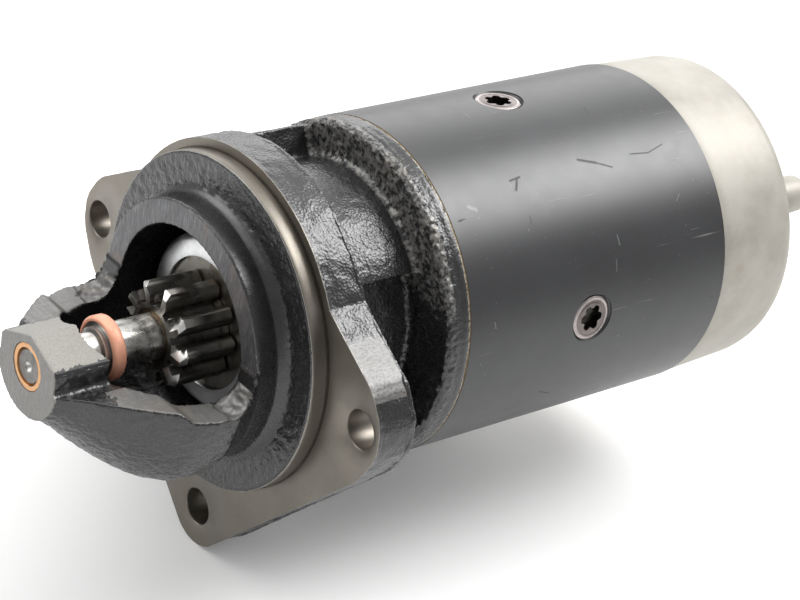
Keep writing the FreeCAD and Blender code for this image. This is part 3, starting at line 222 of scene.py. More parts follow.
def slab(x0, x1, reach=120):
    """A box between two X stations, for cutting."""
    corners = [(x, y, z) for x in (x0, x1) for y in (-reach, reach) for z in (-reach, reach)]
    faces = [(0, 1, 3, 2), (4, 6, 7, 5), (0, 4, 5, 1), (2, 3, 7, 6), (0, 2, 6, 4), (1, 5, 7, 3)]
    return clean(make_mesh("slab", corners, faces))


def cad_copy(node):
    """A welded copy of a CAD node's mesh."""
    return clean(NODES[node].data.copy(), merge=2e-6)


def cast_chunk(name, node, x0, x1, voxel):
    """The CAD node between two X stations, remeshed finely enough to take a cast skin."""
    chunk = temporary(name, cad_copy(node))
    cutter = temporary("cutter", slab(x0, x1))
    cut = chunk.modifiers.new("cut", "BOOLEAN")
    cut.operation = "INTERSECT"
    cut.solver = "EXACT"
    cut.object = cutter
    skin = chunk.modifiers.new("skin", "REMESH")
    skin.mode = "VOXEL"
    skin.voxel_size = voxel * MM
    mesh = evaluated(chunk)
    bpy.data.objects.remove(cutter)
    mesh.name = name
    return mesh


def read_points(mesh):
    """Points and outward directions of a mesh as arrays, the points in millimetres."""
    count = len(mesh.vertices)
    points = np.empty(count * 3)
    mesh.vertices.foreach_get("co", points)
    normals = np.empty(count * 3)
    mesh.vertices.foreach_get("normal", normals)
    return points.reshape(-1, 3) / MM, normals.reshape(-1, 3)


def write_points(mesh, points):
    """Moves a mesh's points to places in millimetres."""
    mesh.vertices.foreach_set("co", (points * MM).ravel())
    mesh.update()


def mark(mesh, name, amount):
    """Stores one number per point for the materials to read."""
    attribute = mesh.attributes.new(name, "FLOAT", "POINT")
    attribute.data.foreach_set("value", np.asarray(amount, np.float32))


def cast_skin(points, size, seed):
    """Lumps of a painted sand casting, from -1 to 1, for points in millimetres."""
    shift = Vector((seed * 17.3, seed * 5.1, seed * 9.7))
    lumps = np.empty(len(points))
    for i, p in enumerate(points):
        q = Vector(p) / size + shift
        lumps[i] = noise.noise(q) * 0.75 + noise.noise(q * 2.3) * 0.4
    return np.clip(lumps * 1.5, -1, 1)


def smooth_step(values, low, high):
    """0 below low and 1 above high, with a smooth rise between."""
    t = np.clip((values - low) / (high - low), 0, 1)
    return t * t * (3 - 2 * t)


# ---------------------------------------------------------------- materials


class Look:
    """A node material built up step by step. Lengths are in millimetres."""

    def __init__(self, name):
        self.material = bpy.data.materials.new(name)
        self.material.use_nodes = True
        self.tree = self.material.node_tree
        self.shader = self.tree.nodes["Principled BSDF"]
        self.place = self.add("ShaderNodeTexCoord").outputs["Object"]
        self.height = None

    def add(self, kind, **settings):
        node = self.tree.nodes.new(kind)
        for key, value in settings.items():
            setattr(node, key, value)
        return node

    def link(self, source, target):
        self.tree.links.new(source, target)

    def feed(self, target, value):
        """Links a node output to a socket, or sets the socket to a number or colour."""
        if isinstance(value, bpy.types.NodeSocket):
            self.link(value, target)
        else:
            target.default_value = value

    def set(self, **sockets):
        for key, value in sockets.items():
            self.feed(self.shader.inputs[key.replace("_", " ")], value)
        return self

    def stretched(self, scale, turn=(0, 0, 0)):
        mapping = self.add("ShaderNodeMapping")
        self.link(self.place, mapping.inputs["Vector"])
        mapping.inputs["Scale"].default_value = scale
        mapping.inputs["Rotation"].default_value = turn
        return mapping.outputs["Vector"]

    def noise(self, size, detail=3, stretch=(1, 1, 1), turn=(0, 0, 0), rough=0.55, where=None):
        """Noise with features of about size millimetres, from 0 to 1."""
        node = self.add("ShaderNodeTexNoise")
        self.link(where or self.stretched([s / (size * MM) for s in stretch], turn),
                  node.inputs["Vector"])
        node.inputs["Scale"].default_value = 1
        node.inputs["Detail"].default_value = detail
        node.inputs["Roughness"].default_value = rough
        return node.outputs["Fac"]

    def cells(self, size):
        """Distance to the nearest of scattered points about size millimetres apart."""
        node = self.add("ShaderNodeTexVoronoi")
        self.link(self.stretched([1 / (size * MM)] * 3), node.inputs["Vector"])
        node.inputs["Scale"].default_value = 1
        return node.outputs["Distance"]

    def rings(self):
        """X and the distance from the shaft axis, both in metres."""
        x, y, z = self.split()
        return x, self.hypotenuse(y, z)

    def math(self, operation, a, b=0.0, clamp=False):
        node = self.add("ShaderNodeMath", operation=operation, use_clamp=clamp)
        self.feed(node.inputs[0], a)
        self.feed(node.inputs[1], b)
        return node.outputs[0]

    def split(self):
        """X, Y and Z of the place being shaded, in metres."""
        node = self.add("ShaderNodeSeparateXYZ")
        self.link(self.place, node.inputs[0])
        return node.outputs[0], node.outputs[1], node.outputs[2]

    def hypotenuse(self, a, b):
        return self.math("SQRT", self.math("ADD", self.math("MULTIPLY", a, a),
                                           self.math("MULTIPLY", b, b)))

    def along(self, low, high):
        """0 at low and 1 at high along X, in millimetres."""
        node = self.add("ShaderNodeMapRange", clamp=True)
        self.link(self.split()[0], node.inputs[0])
        node.inputs[1].default_value = low * MM
        node.inputs[2].default_value = high * MM
        return node.outputs[0]

    def span(self, value, low, high, to_low=0.0, to_high=1.0):
        node = self.add("ShaderNodeMapRange", clamp=True, interpolation_type="SMOOTHSTEP")
        self.link(value, node.inputs[0])
        node.inputs[1].default_value = low
        node.inputs[2].default_value = high
        node.inputs[3].default_value = to_low
        node.inputs[4].default_value = to_high
        return node.outputs[0]

    def colours(self, value, *stops):
        node = self.add("ShaderNodeValToRGB")
        self.link(value, node.inputs[0])
        ramp = node.color_ramp
        while len(ramp.elements) < len(stops):
            ramp.elements.new(0.5)
        for element, (place, colour) in zip(ramp.elements, stops):
            element.position = place
            element.color = (*colour, 1)
        return node.outputs[0]

    def mix(self, factor, a, b):
        node = self.add("ShaderNodeMix", data_type="RGBA")
        self.feed(node.inputs[0], factor)
        self.feed(node.inputs[6], (*a, 1) if isinstance(a, tuple) else a)
        self.feed(node.inputs[7], (*b, 1) if isinstance(b, tuple) else b)
        return node.outputs[2]

    def blend(self, factor, a, b):
        node = self.add("ShaderNodeMix", data_type="FLOAT")
        self.feed(node.inputs[0], factor)
        self.feed(node.inputs[2], a)
        self.feed(node.inputs[3], b)
        return node.outputs[0]

    def streaks(self, marks):
        """1 on short marks given on the yoke's skin, and 0 away from them."""
        along, y, z = self.split()
        along = self.math("MULTIPLY", along, 1 / MM)
        turn = self.math("ARCTAN2", z, y)
        turn = self.math("ADD", turn, self.math("MULTIPLY", self.math("LESS_THAN", turn, 0.0),
                                                math.tau))
        across = self.math("MULTIPLY", turn, YOKE_R)
        ragged = self.noise(1.2, 3)
        total = 0.0
        for x0, turn0, x1, turn1, width in marks:
            a0, a1 = math.radians(turn0) * YOKE_R, math.radians(turn1) * YOKE_R
            dx, da = x1 - x0, a1 - a0
            x = self.math("SUBTRACT", along, x0)
            a = self.math("SUBTRACT", across, a0)
            t = self.math("ADD", self.math("MULTIPLY", x, dx / (dx * dx + da * da)),
                          self.math("MULTIPLY", a, da / (dx * dx + da * da)), clamp=True)
            x = self.math("SUBTRACT", x, self.math("MULTIPLY", t, dx))
            a = self.math("SUBTRACT", a, self.math("MULTIPLY", t, da))
            gap = self.math("ADD", self.hypotenuse(x, a), self.math("MULTIPLY", ragged, width * 0.8))
            total = self.math("MAXIMUM", total, self.span(gap, 0.5 * width, 1.5 * width, 1, 0))
        return total

    def point_number(self, name):
        return self.add("ShaderNodeAttribute", attribute_name=name).outputs["Fac"]

    def bump(self, height, depth, strength=1.0):
        """Adds relief of about depth millimetres."""
        node = self.add("ShaderNodeBump")
        node.inputs["Distance"].default_value = depth * MM
        self.feed(node.inputs["Strength"], strength)
        self.link(height, node.inputs["Height"])
        if self.height is not None:
            self.link(self.height, node.inputs["Normal"])
        self.height = node.outputs[0]
        self.link(self.height, self.shader.inputs["Normal"])
        return self


def cast_paint():
    """Glossy black paint on cast iron, with the paint gone from the iron where the mesh's
    bare_and_sheen number is high; on the rear ring's front the same number makes a painted
    highlight.
    """
    look = Look("cast_paint")
    ragged = look.math("ADD", look.point_number("bare_and_sheen"),
                       look.math("MULTIPLY", look.math("SUBTRACT", look.noise(0.8, 4), 0.5), 0.5))
    bare_and_sheen = look.span(ragged, 0.42, 0.58)
    ground = look.point_number("ground")
    lumpy = look.math("SUBTRACT", 1.0, look.math("MAXIMUM", look.point_number("calm"), bare_and_sheen))
    specks = look.noise(1.1, 4, rough=0.6)
    paint = look.colours(look.noise(9, 5), (0.3, (0.008, 0.008, 0.0085)),
                         (0.7, (0.018, 0.018, 0.019)))
    grit = look.noise(0.45, 4, rough=0.7)
    strokes = look.noise(1.1, 4, stretch=(0.3, 2.4, 0.25), rough=0.7)
    # Tone of the unpainted iron; on the rear ring's front it is also the colour of the painted
    # highlight.
    metal_and_sheen = look.colours(grit, (0.3, (0.20, 0.19, 0.17)), (0.5, (0.27, 0.26, 0.235)),
                         (0.75, (0.36, 0.345, 0.32)))
    dusky = look.colours(strokes, (0.3, (0.035, 0.035, 0.037)), (0.55, (0.10, 0.10, 0.105)),
                         (0.8, (0.25, 0.25, 0.26)))
    stain = look.span(look.noise(14, 3), 0.55, 0.75)
    dusky = look.mix(look.math("MULTIPLY", stain, 0.35), dusky, (0.20, 0.13, 0.085))
    metal_and_sheen = look.mix(ground, metal_and_sheen, dusky)
    look.set(Base_Color=look.mix(bare_and_sheen, paint, metal_and_sheen),
             Metallic=look.math("MULTIPLY", bare_and_sheen, 0.45),
             Roughness=look.blend(bare_and_sheen, look.blend(specks, 0.20, 0.36),
                                  look.blend(ground, 0.50, 0.36)), IOR=1.6)
    look.bump(look.noise(2.0, 2), 0.12, look.math("MULTIPLY", lumpy, 0.9))
    look.bump(look.cells(0.9), 0.12, look.math("MULTIPLY", lumpy, 0.9))
    look.bump(specks, 0.04, look.blend(lumpy, 0.15, 0.8))
    look.bump(strokes, 0.05, look.math("MULTIPLY", look.math("MULTIPLY", bare_and_sheen, ground), 0.8))
    return look.material


def machined_iron():
    """The turned flange face: greenish beige iron with fine rings and dark pores."""
    look = Look("machined_iron")
    x, radius = look.rings()
    split = look.add("ShaderNodeCombineXYZ")
    look.link(look.math("MULTIPLY", x, 900), split.inputs[0])
    look.link(look.math("MULTIPLY", radius, 2600), split.inputs[1])
    turning = look.noise(1, 2, where=split.outputs[0])
    pores = look.span(look.noise(0.7, 4), 0.60, 0.72)
    cloud = look.noise(16, 4)
    tone = look.colours(cloud, (0.3, (0.175, 0.158, 0.136)), (0.7, (0.235, 0.216, 0.188)))
    tone = look.mix(look.math("MULTIPLY", turning, 0.4), tone, (0.14, 0.125, 0.10))
    tone = look.mix(look.math("MULTIPLY", pores, 0.7), tone, (0.07, 0.06, 0.048))
    look.set(Base_Color=tone, Metallic=0.88, Roughness=look.span(cloud, 0.2, 0.8, 0.34, 0.46))
    look.bump(turning, 0.02, 0.7).bump(pores, 0.05, 0.5)
    return look.material


DARK_SCRATCHES = (        # start and end of each mark on the yoke: X, degrees round, width
    (115.6, 121.0, 122.0, 123.4, 0.75), (121.5, 123.2, 127.8, 126.2, 0.45),
    (138.0, 123.1, 145.8, 124.1, 0.35), (145.8, 124.1, 153.5, 122.2, 0.3),
    (84.5, 123.0, 89.1, 122.4, 0.5), (87.5, 122.8, 85.2, 126.5, 0.6),
    (86.3, 136.0, 86.0, 138.3, 0.3), (134.0, 100.0, 133.2, 104.0, 0.3),
    (95.0, 203.0, 101.0, 206.0, 0.4), (140.0, 250.0, 149.0, 247.0, 0.5),
)
LIGHT_SCRATCHES = (
    (120.4, 148.8, 120.9, 152.2, 0.3), (118.6, 156.8, 118.4, 160.5, 0.22),
    (63.7, 128.4, 66.2, 130.0, 0.9), (65.0, 167.0, 65.4, 169.0, 0.3),
    (152.0, 140.5, 150.0, 142.5, 0.2), (80.0, 30.0, 92.0, 34.0, 0.3),
    (130.0, 305.0, 131.0, 312.0, 0.3),
)


def satin_paint():
    """Smooth satin black paint with scratches, scuffs and faint rub marks."""
    look = Look("satin_paint")
    long_marks = look.noise(1.0, 2, stretch=(0.035, 1.6, 1.6), turn=(0, 0.1, 0.25))
    cross_marks = look.noise(1.3, 2, stretch=(1.2, 0.05, 1.2), turn=(0.3, 0.4, 0.2))
    patches = look.span(look.noise(24, 3), 0.42, 0.60)
    scratch = look.math("MULTIPLY", look.span(look.math("MAXIMUM", long_marks, cross_marks),
                                              0.70, 0.75), patches)
    scuffs = look.span(look.noise(3.4, 3, stretch=(0.35, 1.2, 2.2), turn=(0.4, 0.3, 0.5)),
                       0.715, 0.74)
    scuffs = look.math("MULTIPLY", scuffs, look.span(look.noise(30, 2), 0.50, 0.62))
    scuffs = look.math("MAXIMUM", scuffs, look.streaks(DARK_SCRATCHES))
    scratch = look.math("MAXIMUM", scratch, look.streaks(LIGHT_SCRATCHES))
    cloud = look.noise(30, 4)
    paint = look.colours(cloud, (0.3, (0.0125, 0.0130, 0.0145)), (0.75, (0.0215, 0.0222, 0.0245)))
    paint = look.mix(look.math("MULTIPLY", scratch, 0.6), paint, (0.20, 0.20, 0.20))
    look.set(Base_Color=look.mix(look.math("MULTIPLY", scuffs, 0.8), paint, (0.004, 0.004, 0.004)),
             Roughness=look.blend(scuffs, look.blend(look.noise(7, 4), 0.34, 0.43), 0.6), IOR=1.6)
    look.bump(look.noise(0.5, 3), 0.012, 0.5).bump(scratch, 0.02, 0.6).bump(scuffs, 0.03, 0.5)
    return look.material


def cover_metal():
    """Bare pressed steel: creamy silver, cloudy, with faint stains and pits."""
    look = Look("cover_metal")
    cloud = look.noise(13, 5, rough=0.6)
    stains = look.span(look.noise(22, 4), 0.56, 0.74)
    grain = look.noise(0.55, 4, rough=0.65)
    tone = look.colours(cloud, (0.25, (0.31, 0.29, 0.25)), (0.55, (0.39, 0.37, 0.33)),
                        (0.8, (0.45, 0.43, 0.39)))
    tone = look.mix(look.math("MULTIPLY", stains, 0.4), tone, (0.30, 0.25, 0.175))
    tone = look.mix(look.math("MULTIPLY", look.span(grain, 0.62, 0.75), 0.35), tone,
                    (0.27, 0.25, 0.22))
    seam = look.span(look.math("ADD", look.along(COVER_FRONT + 1.6, COVER_FRONT),
                               look.math("MULTIPLY", look.noise(1.6, 4), 0.9)), 1.05, 1.2)
    tone = look.mix(look.math("MULTIPLY", seam, 0.8), tone, (0.50, 0.42, 0.26))
    look.set(Base_Color=tone, Metallic=0.3, Roughness=look.span(cloud, 0.2, 0.8, 0.45, 0.58))
    look.bump(grain, 0.03, 0.6).bump(cloud, 0.12, 0.25)
    return look.material


def steel(name, dark, light, rough, metallic=0.95, stain=None, grain=(1, 1, 1), relief=0.02):
    """Steel with fine marks along a grain, and an optional oil or rust stain."""
    look = Look(name)
    marks = look.noise(1.4, 4, stretch=grain, rough=0.65)
    cloud = look.noise(6, 4)
    tone = look.mix(cloud, look.colours(marks, (0.25, dark), (0.75, light)), light)
    if stain:
        tone = look.mix(look.math("MULTIPLY", look.span(look.noise(4.5, 4), 0.5, 0.68), 0.7),
                        tone, stain)
    look.set(Base_Color=tone, Metallic=metallic,
             Roughness=look.span(cloud, 0.25, 0.75, rough * 0.8, rough * 1.25))
    look.bump(marks, relief, 0.6)
    return look.material


def dull(name, dark, light, rough, size=2.5, relief=0.05, sheen=0.0):
    """A non-metal with two close tones and a fine relief."""
    look = Look(name)
    grain = look.noise(size, 5, rough=0.6)
    look.set(Base_Color=look.colours(grain, (0.3, dark), (0.7, light)),
             Roughness=look.span(grain, 0.2, 0.8, rough * 0.88, min(rough * 1.1, 1)),
             Sheen_Weight=sheen)
    look.bump(grain, relief, 0.7)
    return look.material


def stop_ring_metal():
    """A copper-coloured sintered ring, matt and finely grained."""
    look = Look("stop_ring_metal")
    grain = look.noise(0.6, 5, rough=0.7)
    cloud = look.noise(4, 3)
    tone = look.colours(cloud, (0.3, (0.80, 0.34, 0.215)), (0.7, (0.93, 0.46, 0.31)))
    tone = look.mix(look.math("MULTIPLY", look.span(grain, 0.52, 0.7), 0.45), tone,
                    (0.93, 0.56, 0.43))
    look.set(Base_Color=tone, Metallic=0.2, Roughness=look.span(grain, 0.2, 0.8, 0.36, 0.5))
    look.bump(grain, 0.03, 0.6)
    return look.material


def shaft_steel():
    """Ground steel: clean at the nose journal and oily brown towards the pinion."""
    look = Look("shaft_steel")
    oily = look.along(-45, -40)
    rings = look.noise(0.5, 3, stretch=(3, 0.2, 0.2), rough=0.6)
    film = look.noise(3.5, 5, rough=0.65)
    clean_tone = look.colours(rings, (0.3, (0.50, 0.49, 0.47)), (0.7, (0.66, 0.65, 0.62)))
    clean_tone = look.mix(look.along(NOSE_X + 1.2, NOSE_X + 0.6), clean_tone,
                          look.colours(film, (0.3, (0.07, 0.068, 0.065)),
                                       (0.7, (0.17, 0.165, 0.155))))
    oil_tone = look.colours(film, (0.32, (0.30, 0.285, 0.26)), (0.5, (0.52, 0.51, 0.48)),
                            (0.72, (0.74, 0.73, 0.70)))
    look.set(Base_Color=look.mix(oily, clean_tone, oil_tone), Metallic=0.95,
             Roughness=look.blend(oily, 0.3, look.span(film, 0.3, 0.7, 0.2, 0.34)))
    look.bump(rings, 0.012, 0.5)
    return look.material


def copper_wire(name, dark, light, pitch):
    """Windings: rows of wire shown as a relief round the shaft axis."""
    look = Look(name)
    wave = look.add("ShaderNodeTexWave", wave_type="BANDS", bands_direction="X")
    look.link(look.stretched([1 / (pitch * MM) / math.tau] * 3), wave.inputs["Vector"])
    wave.inputs["Scale"].default_value = math.tau
    wave.inputs["Distortion"].default_value = 0.6
    tone = look.mix(look.noise(5, 4), dark, light)
    look.set(Base_Color=look.mix(look.math("MULTIPLY", wave.outputs["Fac"], 0.5), tone, dark),
             Metallic=0.7, Roughness=0.34, Coat_Weight=0.3)
    look.bump(wave.outputs["Fac"], pitch * 0.4, 0.8)
    return look.material


CAST = cast_paint()
FACE = machined_iron()
SATIN = satin_paint()
COVER = cover_metal()
SHAFT = shaft_steel()
STOP = stop_ring_metal()
PINION_DARK = steel("pinion_steel", (0.12, 0.115, 0.105), (0.27, 0.26, 0.24), 0.3,
                    stain=(0.11, 0.085, 0.066), grain=(0.3, 1, 1))
PINION_BRIGHT = steel("chamfer_steel", (0.45, 0.44, 0.42), (0.78, 0.77, 0.75), 0.3)
SCREW = steel("screw_steel", (0.085, 0.072, 0.068), (0.20, 0.175, 0.168), 0.34, grain=(2, 2, 2))
# Painted shade: near-black steel for the inside of the screw sockets, standing for the shade in
# those recesses.
SOCKET_SHADE = steel("screw_socket", (0.012, 0.012, 0.011), (0.07, 0.066, 0.06), 0.3, grain=(2, 2, 2))
SCREW_EDGE = steel("screw_edge", (0.22, 0.19, 0.18), (0.42, 0.38, 0.37), 0.3)
WORN_SATIN = steel("worn_satin", (0.03, 0.03, 0.032), (0.10, 0.10, 0.105), 0.34, metallic=0.5)
BRIGHT = steel("bright_steel", (0.42, 0.42, 0.41), (0.62, 0.62, 0.60), 0.26)
DARK = steel("dark_steel", (0.05, 0.048, 0.043), (0.17, 0.165, 0.15), 0.34,
             stain=(0.07, 0.045, 0.03))
CUP = steel("cover_sheet", (0.50, 0.505, 0.51), (0.74, 0.745, 0.75), 0.34, grain=(0.5, 1, 1))
WASHER = steel("clutch_washer", (0.16, 0.15, 0.132), (0.33, 0.315, 0.285), 0.36,
               stain=(0.15, 0.11, 0.08))
LAMINATION = steel("lamination", (0.14, 0.14, 0.145), (0.30, 0.30, 0.31), 0.4,
                   grain=(6, 0.2, 0.2), relief=0.08)
OILY_BRONZE = steel("oily_bronze", (0.05, 0.038, 0.022), (0.15, 0.115, 0.07), 0.34,
                    stain=(0.10, 0.045, 0.018))
BRONZE = steel("bronze", (0.34, 0.175, 0.075), (0.60, 0.34, 0.17), 0.36)
COPPER = steel("copper", (0.50, 0.19, 0.09), (0.78, 0.36, 0.21), 0.28)
SPRING = steel("spring_steel", (0.16, 0.16, 0.155), (0.36, 0.36, 0.35), 0.3)
WINDING = copper_wire("winding", (0.28, 0.085, 0.03), (0.55, 0.20, 0.085), 1.2)
CARBON = dull("carbon", (0.012, 0.012, 0.012), (0.05, 0.045, 0.04), 0.55)
RUBBER = dull("rubber", (0.010, 0.010, 0.010), (0.028, 0.028, 0.028), 0.7, sheen=0.3)
PLASTIC = dull("black_plastic", (0.012, 0.012, 0.013), (0.03, 0.03, 0.032), 0.42, size=0.7,
               relief=0.03)
LEVER = dull("lever_plastic", (0.05, 0.035, 0.022), (0.11, 0.08, 0.05), 0.45, size=1.2)
GASKET = dull("gasket_paper", (0.16, 0.105, 0.045), (0.34, 0.24, 0.11), 0.75, size=1.6)

SLOT_LOOKS = {
    "black_paint": CAST, "satin_paint": SATIN, "cover_metal": COVER, "bright_steel": BRIGHT,
    "dark_steel": DARK, "screw_steel": SCREW, "lamination": LAMINATION, "cover_sheet": CUP,
    "copper": COPPER, "winding": WINDING, "bronze": BRONZE, "carbon": CARBON,
    "rubber": RUBBER, "black_plastic": PLASTIC, "lever_plastic": LEVER, "gasket": GASKET,
    "spring": SPRING,
}
NODE_LOOKS = {"armature_shaft": SHAFT, "pinion_bush": OILY_BRONZE, "clutch_washer": WASHER,
              "stop_ring": STOP, "pinion": PINION_DARK, "drive_end_bracket": CAST}
SLOTS = {}                # the record's material slot of each CAD node


def dress_cad_nodes():
    """Gives each CAD node the look of its slot, or its own."""
    for name, thing in NODES.items():
        SLOTS[name] = thing.data.materials[0].name.split(".")[0]
        look = NODE_LOOKS.get(name) or SLOT_LOOKS[SLOTS[name]]
        for holder in thing.material_slots:
            holder.material = look


dress_cad_nodes()

# ---------------------------------------------------------------- drive end bracket


def line_points(start, end, step=0.8):
    """Points from start up to, but not at, end."""
    start, end = Vector(start), Vector(end)
    count = max(1, round((end - start).length / step))
    return [start.lerp(end, i / count) for i in range(count)]


def arc_points(centre, radius, first, last, step=0.8):
    """Points along an arc, in degrees, up to but not at its end."""
    count = max(1, round(abs(math.radians(last - first)) * radius / step))
    centre = Vector(centre)
    points = []
    for i in range(count):
        angle = math.radians(first + (last - first) * i / count)
        points.append(centre + radius * Vector((math.cos(angle), math.sin(angle))))
    return points


def flange_outline():
    """The flange's edge as (y, z) points, anticlockwise from the bottom lug."""
    slant = math.radians(45)
    lug_low = (LUG_R * math.cos(slant), -LUG_CIRCLE - LUG_R * math.sin(slant))
    meet = math.radians(UPPER_MEET)
    meeting = (FLANGE_R * math.cos(meet), FLANGE_R * math.sin(meet))
    right = arc_points((0, -LUG_CIRCLE), LUG_R, -90, -45)
    corners = [lug_low, *LUG_CORNERS, meeting]
    for start, end in zip(corners, corners[1:]):
        right += line_points(start, end)
    right += arc_points((0, 0), FLANGE_R, UPPER_MEET, 90)
    left = [Vector((-p.x, p.y)) for p in reversed(right[1:])]
    return round_corners(right + [Vector((0, FLANGE_R))] + left)


def round_corners(outline, reach=8, smoothing=5):
    """The outline with each point near a lug corner moved to the middle of its neighbours."""
    count = len(outline)
    rounded = []
    for i, point in enumerate(outline):
        corner_gap = min((Vector((abs(point.x), point.y)) - Vector(c)).length
                         for c in LUG_CORNERS)
        side = round(smoothing * max(0.0, 1 - corner_gap / reach))
        near = [outline[(i + k) % count] for k in range(-side, side + 1)]
        rounded.append(sum(near, Vector((0, 0))) / len(near))
    return rounded


def ring_directions(outline):
    """Outward directions of a closed outline that runs anticlockwise."""
    count = len(outline)
    directions = []
    for i in range(count):
        along = outline[(i + 2) % count] - outline[i - 2]
        directions.append(Vector((along.y, -along.x)).normalized())
    return directions


def circle(centre, radius, count):
    """Points round a circle in the YZ plane."""
    return [(centre[0] + radius * math.cos(math.tau * i / count),
             centre[1] + radius * math.sin(math.tau * i / count)) for i in range(count)]


def tube_rings(profile, centre, count):
    """Rings of (x, y, z) points for a profile of (x, radius) points."""
    return [[(x, y, z) for y, z in circle(centre, r, count)] for x, r in profile]


def inner_points(outline, inner, hole_radius, spacing):
    """Scattered points that keep clear of a sheet's outline and holes."""
    steps = int(90 / spacing)
    points = []
    for i in range(-steps, steps + 1):
        for j in range(-steps, steps + 1):
            p = Vector(((i + 0.5 * (j % 2)) * spacing, j * spacing * 0.87))
            clear = p.length > inner + spacing * 0.6
            clear = clear and all((p - Vector(s)).length > hole_radius + spacing * 0.6
                                  for s in HOLES)
            near = min((p - q).length_squared for q in outline[::2])
            if clear and near > (spacing * 0.7) ** 2:
                points.append(p)
    return points


def holed_sheet(outline, inner, inner_count, hole_radius, x, spacing=None):
    """A flat sheet in the YZ plane: an outline, a centre hole and the lug holes."""
    loops = [[tuple(p) for p in outline], circle((0, 0), inner, inner_count)]
    loops += [circle(spot, hole_radius, HOLE_POINTS) for spot in HOLES]
    points = []
    edges = []
    for loop in loops:
        first = len(points)
        points += [Vector(p) for p in loop]
        edges += [(first + i, first + (i + 1) % len(loop)) for i in range(len(loop))]
    if spacing:
        points += inner_points(outline, inner, hole_radius, spacing)
    made = geometry.delaunay_2d_cdt(points, edges, [], 1, 1e-5)
    out_points, out_faces = made[0], made[2]
    faces = []
    for face in out_faces:
        middle = sum((out_points[k] for k in face), Vector((0, 0))) / len(face)
        inside_hole = any((middle - Vector(s)).length < hole_radius * 0.999 for s in HOLES)
        if middle.length > inner * 0.999 and not inside_hole:
            faces.append(tuple(face))
    return [(x, p.x, p.y) for p in out_points], faces


def rim_facet(y, z):
    """How far a point of the rim is inside the ground facet near the left lug, from 0 to 1."""
    turn = np.degrees(np.arctan2(z, y)) % 360
    return smooth_step(turn, *FACET[:2]) * (1 - smooth_step(turn, *FACET[2:]))


def rim_depth(x, point):
    """How far the cast rim moves outwards at a point, always 0 or less, in millimetres."""
    facet = rim_facet(point.x, point.y)
    q = Vector((x, point.x, point.y))
    low_lug = 1 - min(1, max(0, (point.y + 45) / 40))
    rough = noise.noise(q / 4.4) * 0.75 + noise.noise(q / 1.7) * 0.25 - 0.5
    rough *= 0.7 + 0.9 * low_lug
    broad = noise.noise(q / 16) * 0.45 - 0.2
    fade = min(1.0, x / 1.2)
    depth = (0.55 * rough * (1 - facet) + broad * (1 - 0.7 * facet)) * fade
    depth -= 0.35 * facet * fade
    ragged = 0.18 * noise.noise(q / 1.1 + Vector((9, 9, 9))) * (1 - fade)
    return min(0.0, depth) + min(0.0, ragged)


def rim_inset(x):
    """How far the rim's rounded edges pull in at an X station."""
    if x < FRONT_ROUND:
        return 0.22 * (1 - x / FRONT_ROUND)
    if x > FLANGE_BACK - RIM_ROUND:
        rest = (x - FLANGE_BACK + RIM_ROUND) / RIM_ROUND
        return RIM_ROUND * (1 - math.sqrt(max(0, 1 - rest * rest)))
    return 0.0


def rim_rings():
    """Rings of points from the flange's front edge to its rear edge, with a cast skin."""
    outline = flange_outline()
    outward = ring_directions(outline)
    stations = [0, 0.12, FRONT_ROUND]
    stations += list(np.linspace(FRONT_ROUND, FLANGE_BACK - RIM_ROUND, 16)[1:])
    stations += [FLANGE_BACK - RIM_ROUND * (1 - math.sin(math.radians(a))) for a in (30, 60, 90)]
    rings = []
    for x in stations:
        places = [point + direction * (rim_depth(x, point) - rim_inset(x))
                  for point, direction in zip(outline, outward)]
        rings.append([(x, place.x, place.y) for place in places])
    return rings


def rough_back(back_edge):
    """The flange's rear face, lumpy away from its holes and edges."""
    flat, faces = holed_sheet(back_edge, BORE_EDGE, BORE_POINTS, HOLE_R + 0.6, FLANGE_BACK,
                              BACK_STEP)
    points = []
    for x, y, z in flat:
        q = Vector((x, y, z))
        edge = min(abs(math.hypot(y - s[0], z - s[1]) - HOLE_R) for s in HOLES)
        lump = (noise.noise(q / 3.0) * 0.7 + noise.noise(q / 1.5) * 0.35 - 0.5) * 0.45
        rim_gap = min((Vector((y, z)) - p).length for p in back_edge[::3])
        points.append((x + lump * min(1, max(0, edge - 0.6)) * min(1, rim_gap), y, z))
    return points, [tuple(reversed(f)) for f in faces]


def pilot_rings():
    """The groove, the turned pilot, its rough painted front and the bore."""
    profile = [(0, PILOT_R + PILOT_GROOVE), (0.5, PILOT_R + PILOT_GROOVE - 0.15),
               (0.55, PILOT_R - 0.25), (0, PILOT_R - 0.3), (-0.4, PILOT_R)]
    profile += [(x, PILOT_R) for x in np.linspace(-1, PILOT_X + 1.0, 5)]
    profile += [(PILOT_X + 0.55, PILOT_R - 0.1), (PILOT_X + 0.2, PILOT_R - 0.42),
                (PILOT_X, PILOT_R - 0.9)]
    profile += [(PILOT_X, r) for r in np.linspace(PILOT_R - 1.7, BORE_R + 4, 24)]
    profile += [(PILOT_X, BORE_EDGE), (FLANGE_BACK, BORE_EDGE)]
    rings = tube_rings(profile, (0, 0), RING_POINTS)
    for (x, r), ring in zip(profile, rings):
        if x != PILOT_X or r > PILOT_R - 0.5:
            continue
        rise = 0.5 * min(1, (PILOT_R - 0.5 - r) / 1.5)
        for k, place in enumerate(ring):
            q = Vector(place)
            lift = rise * (noise.noise(q / 2.2) * 0.7 + noise.noise(q / 1.1) * 0.45 + 0.5)
            ring[k] = (x + max(0.0, lift), place[1], place[2])
    return rings


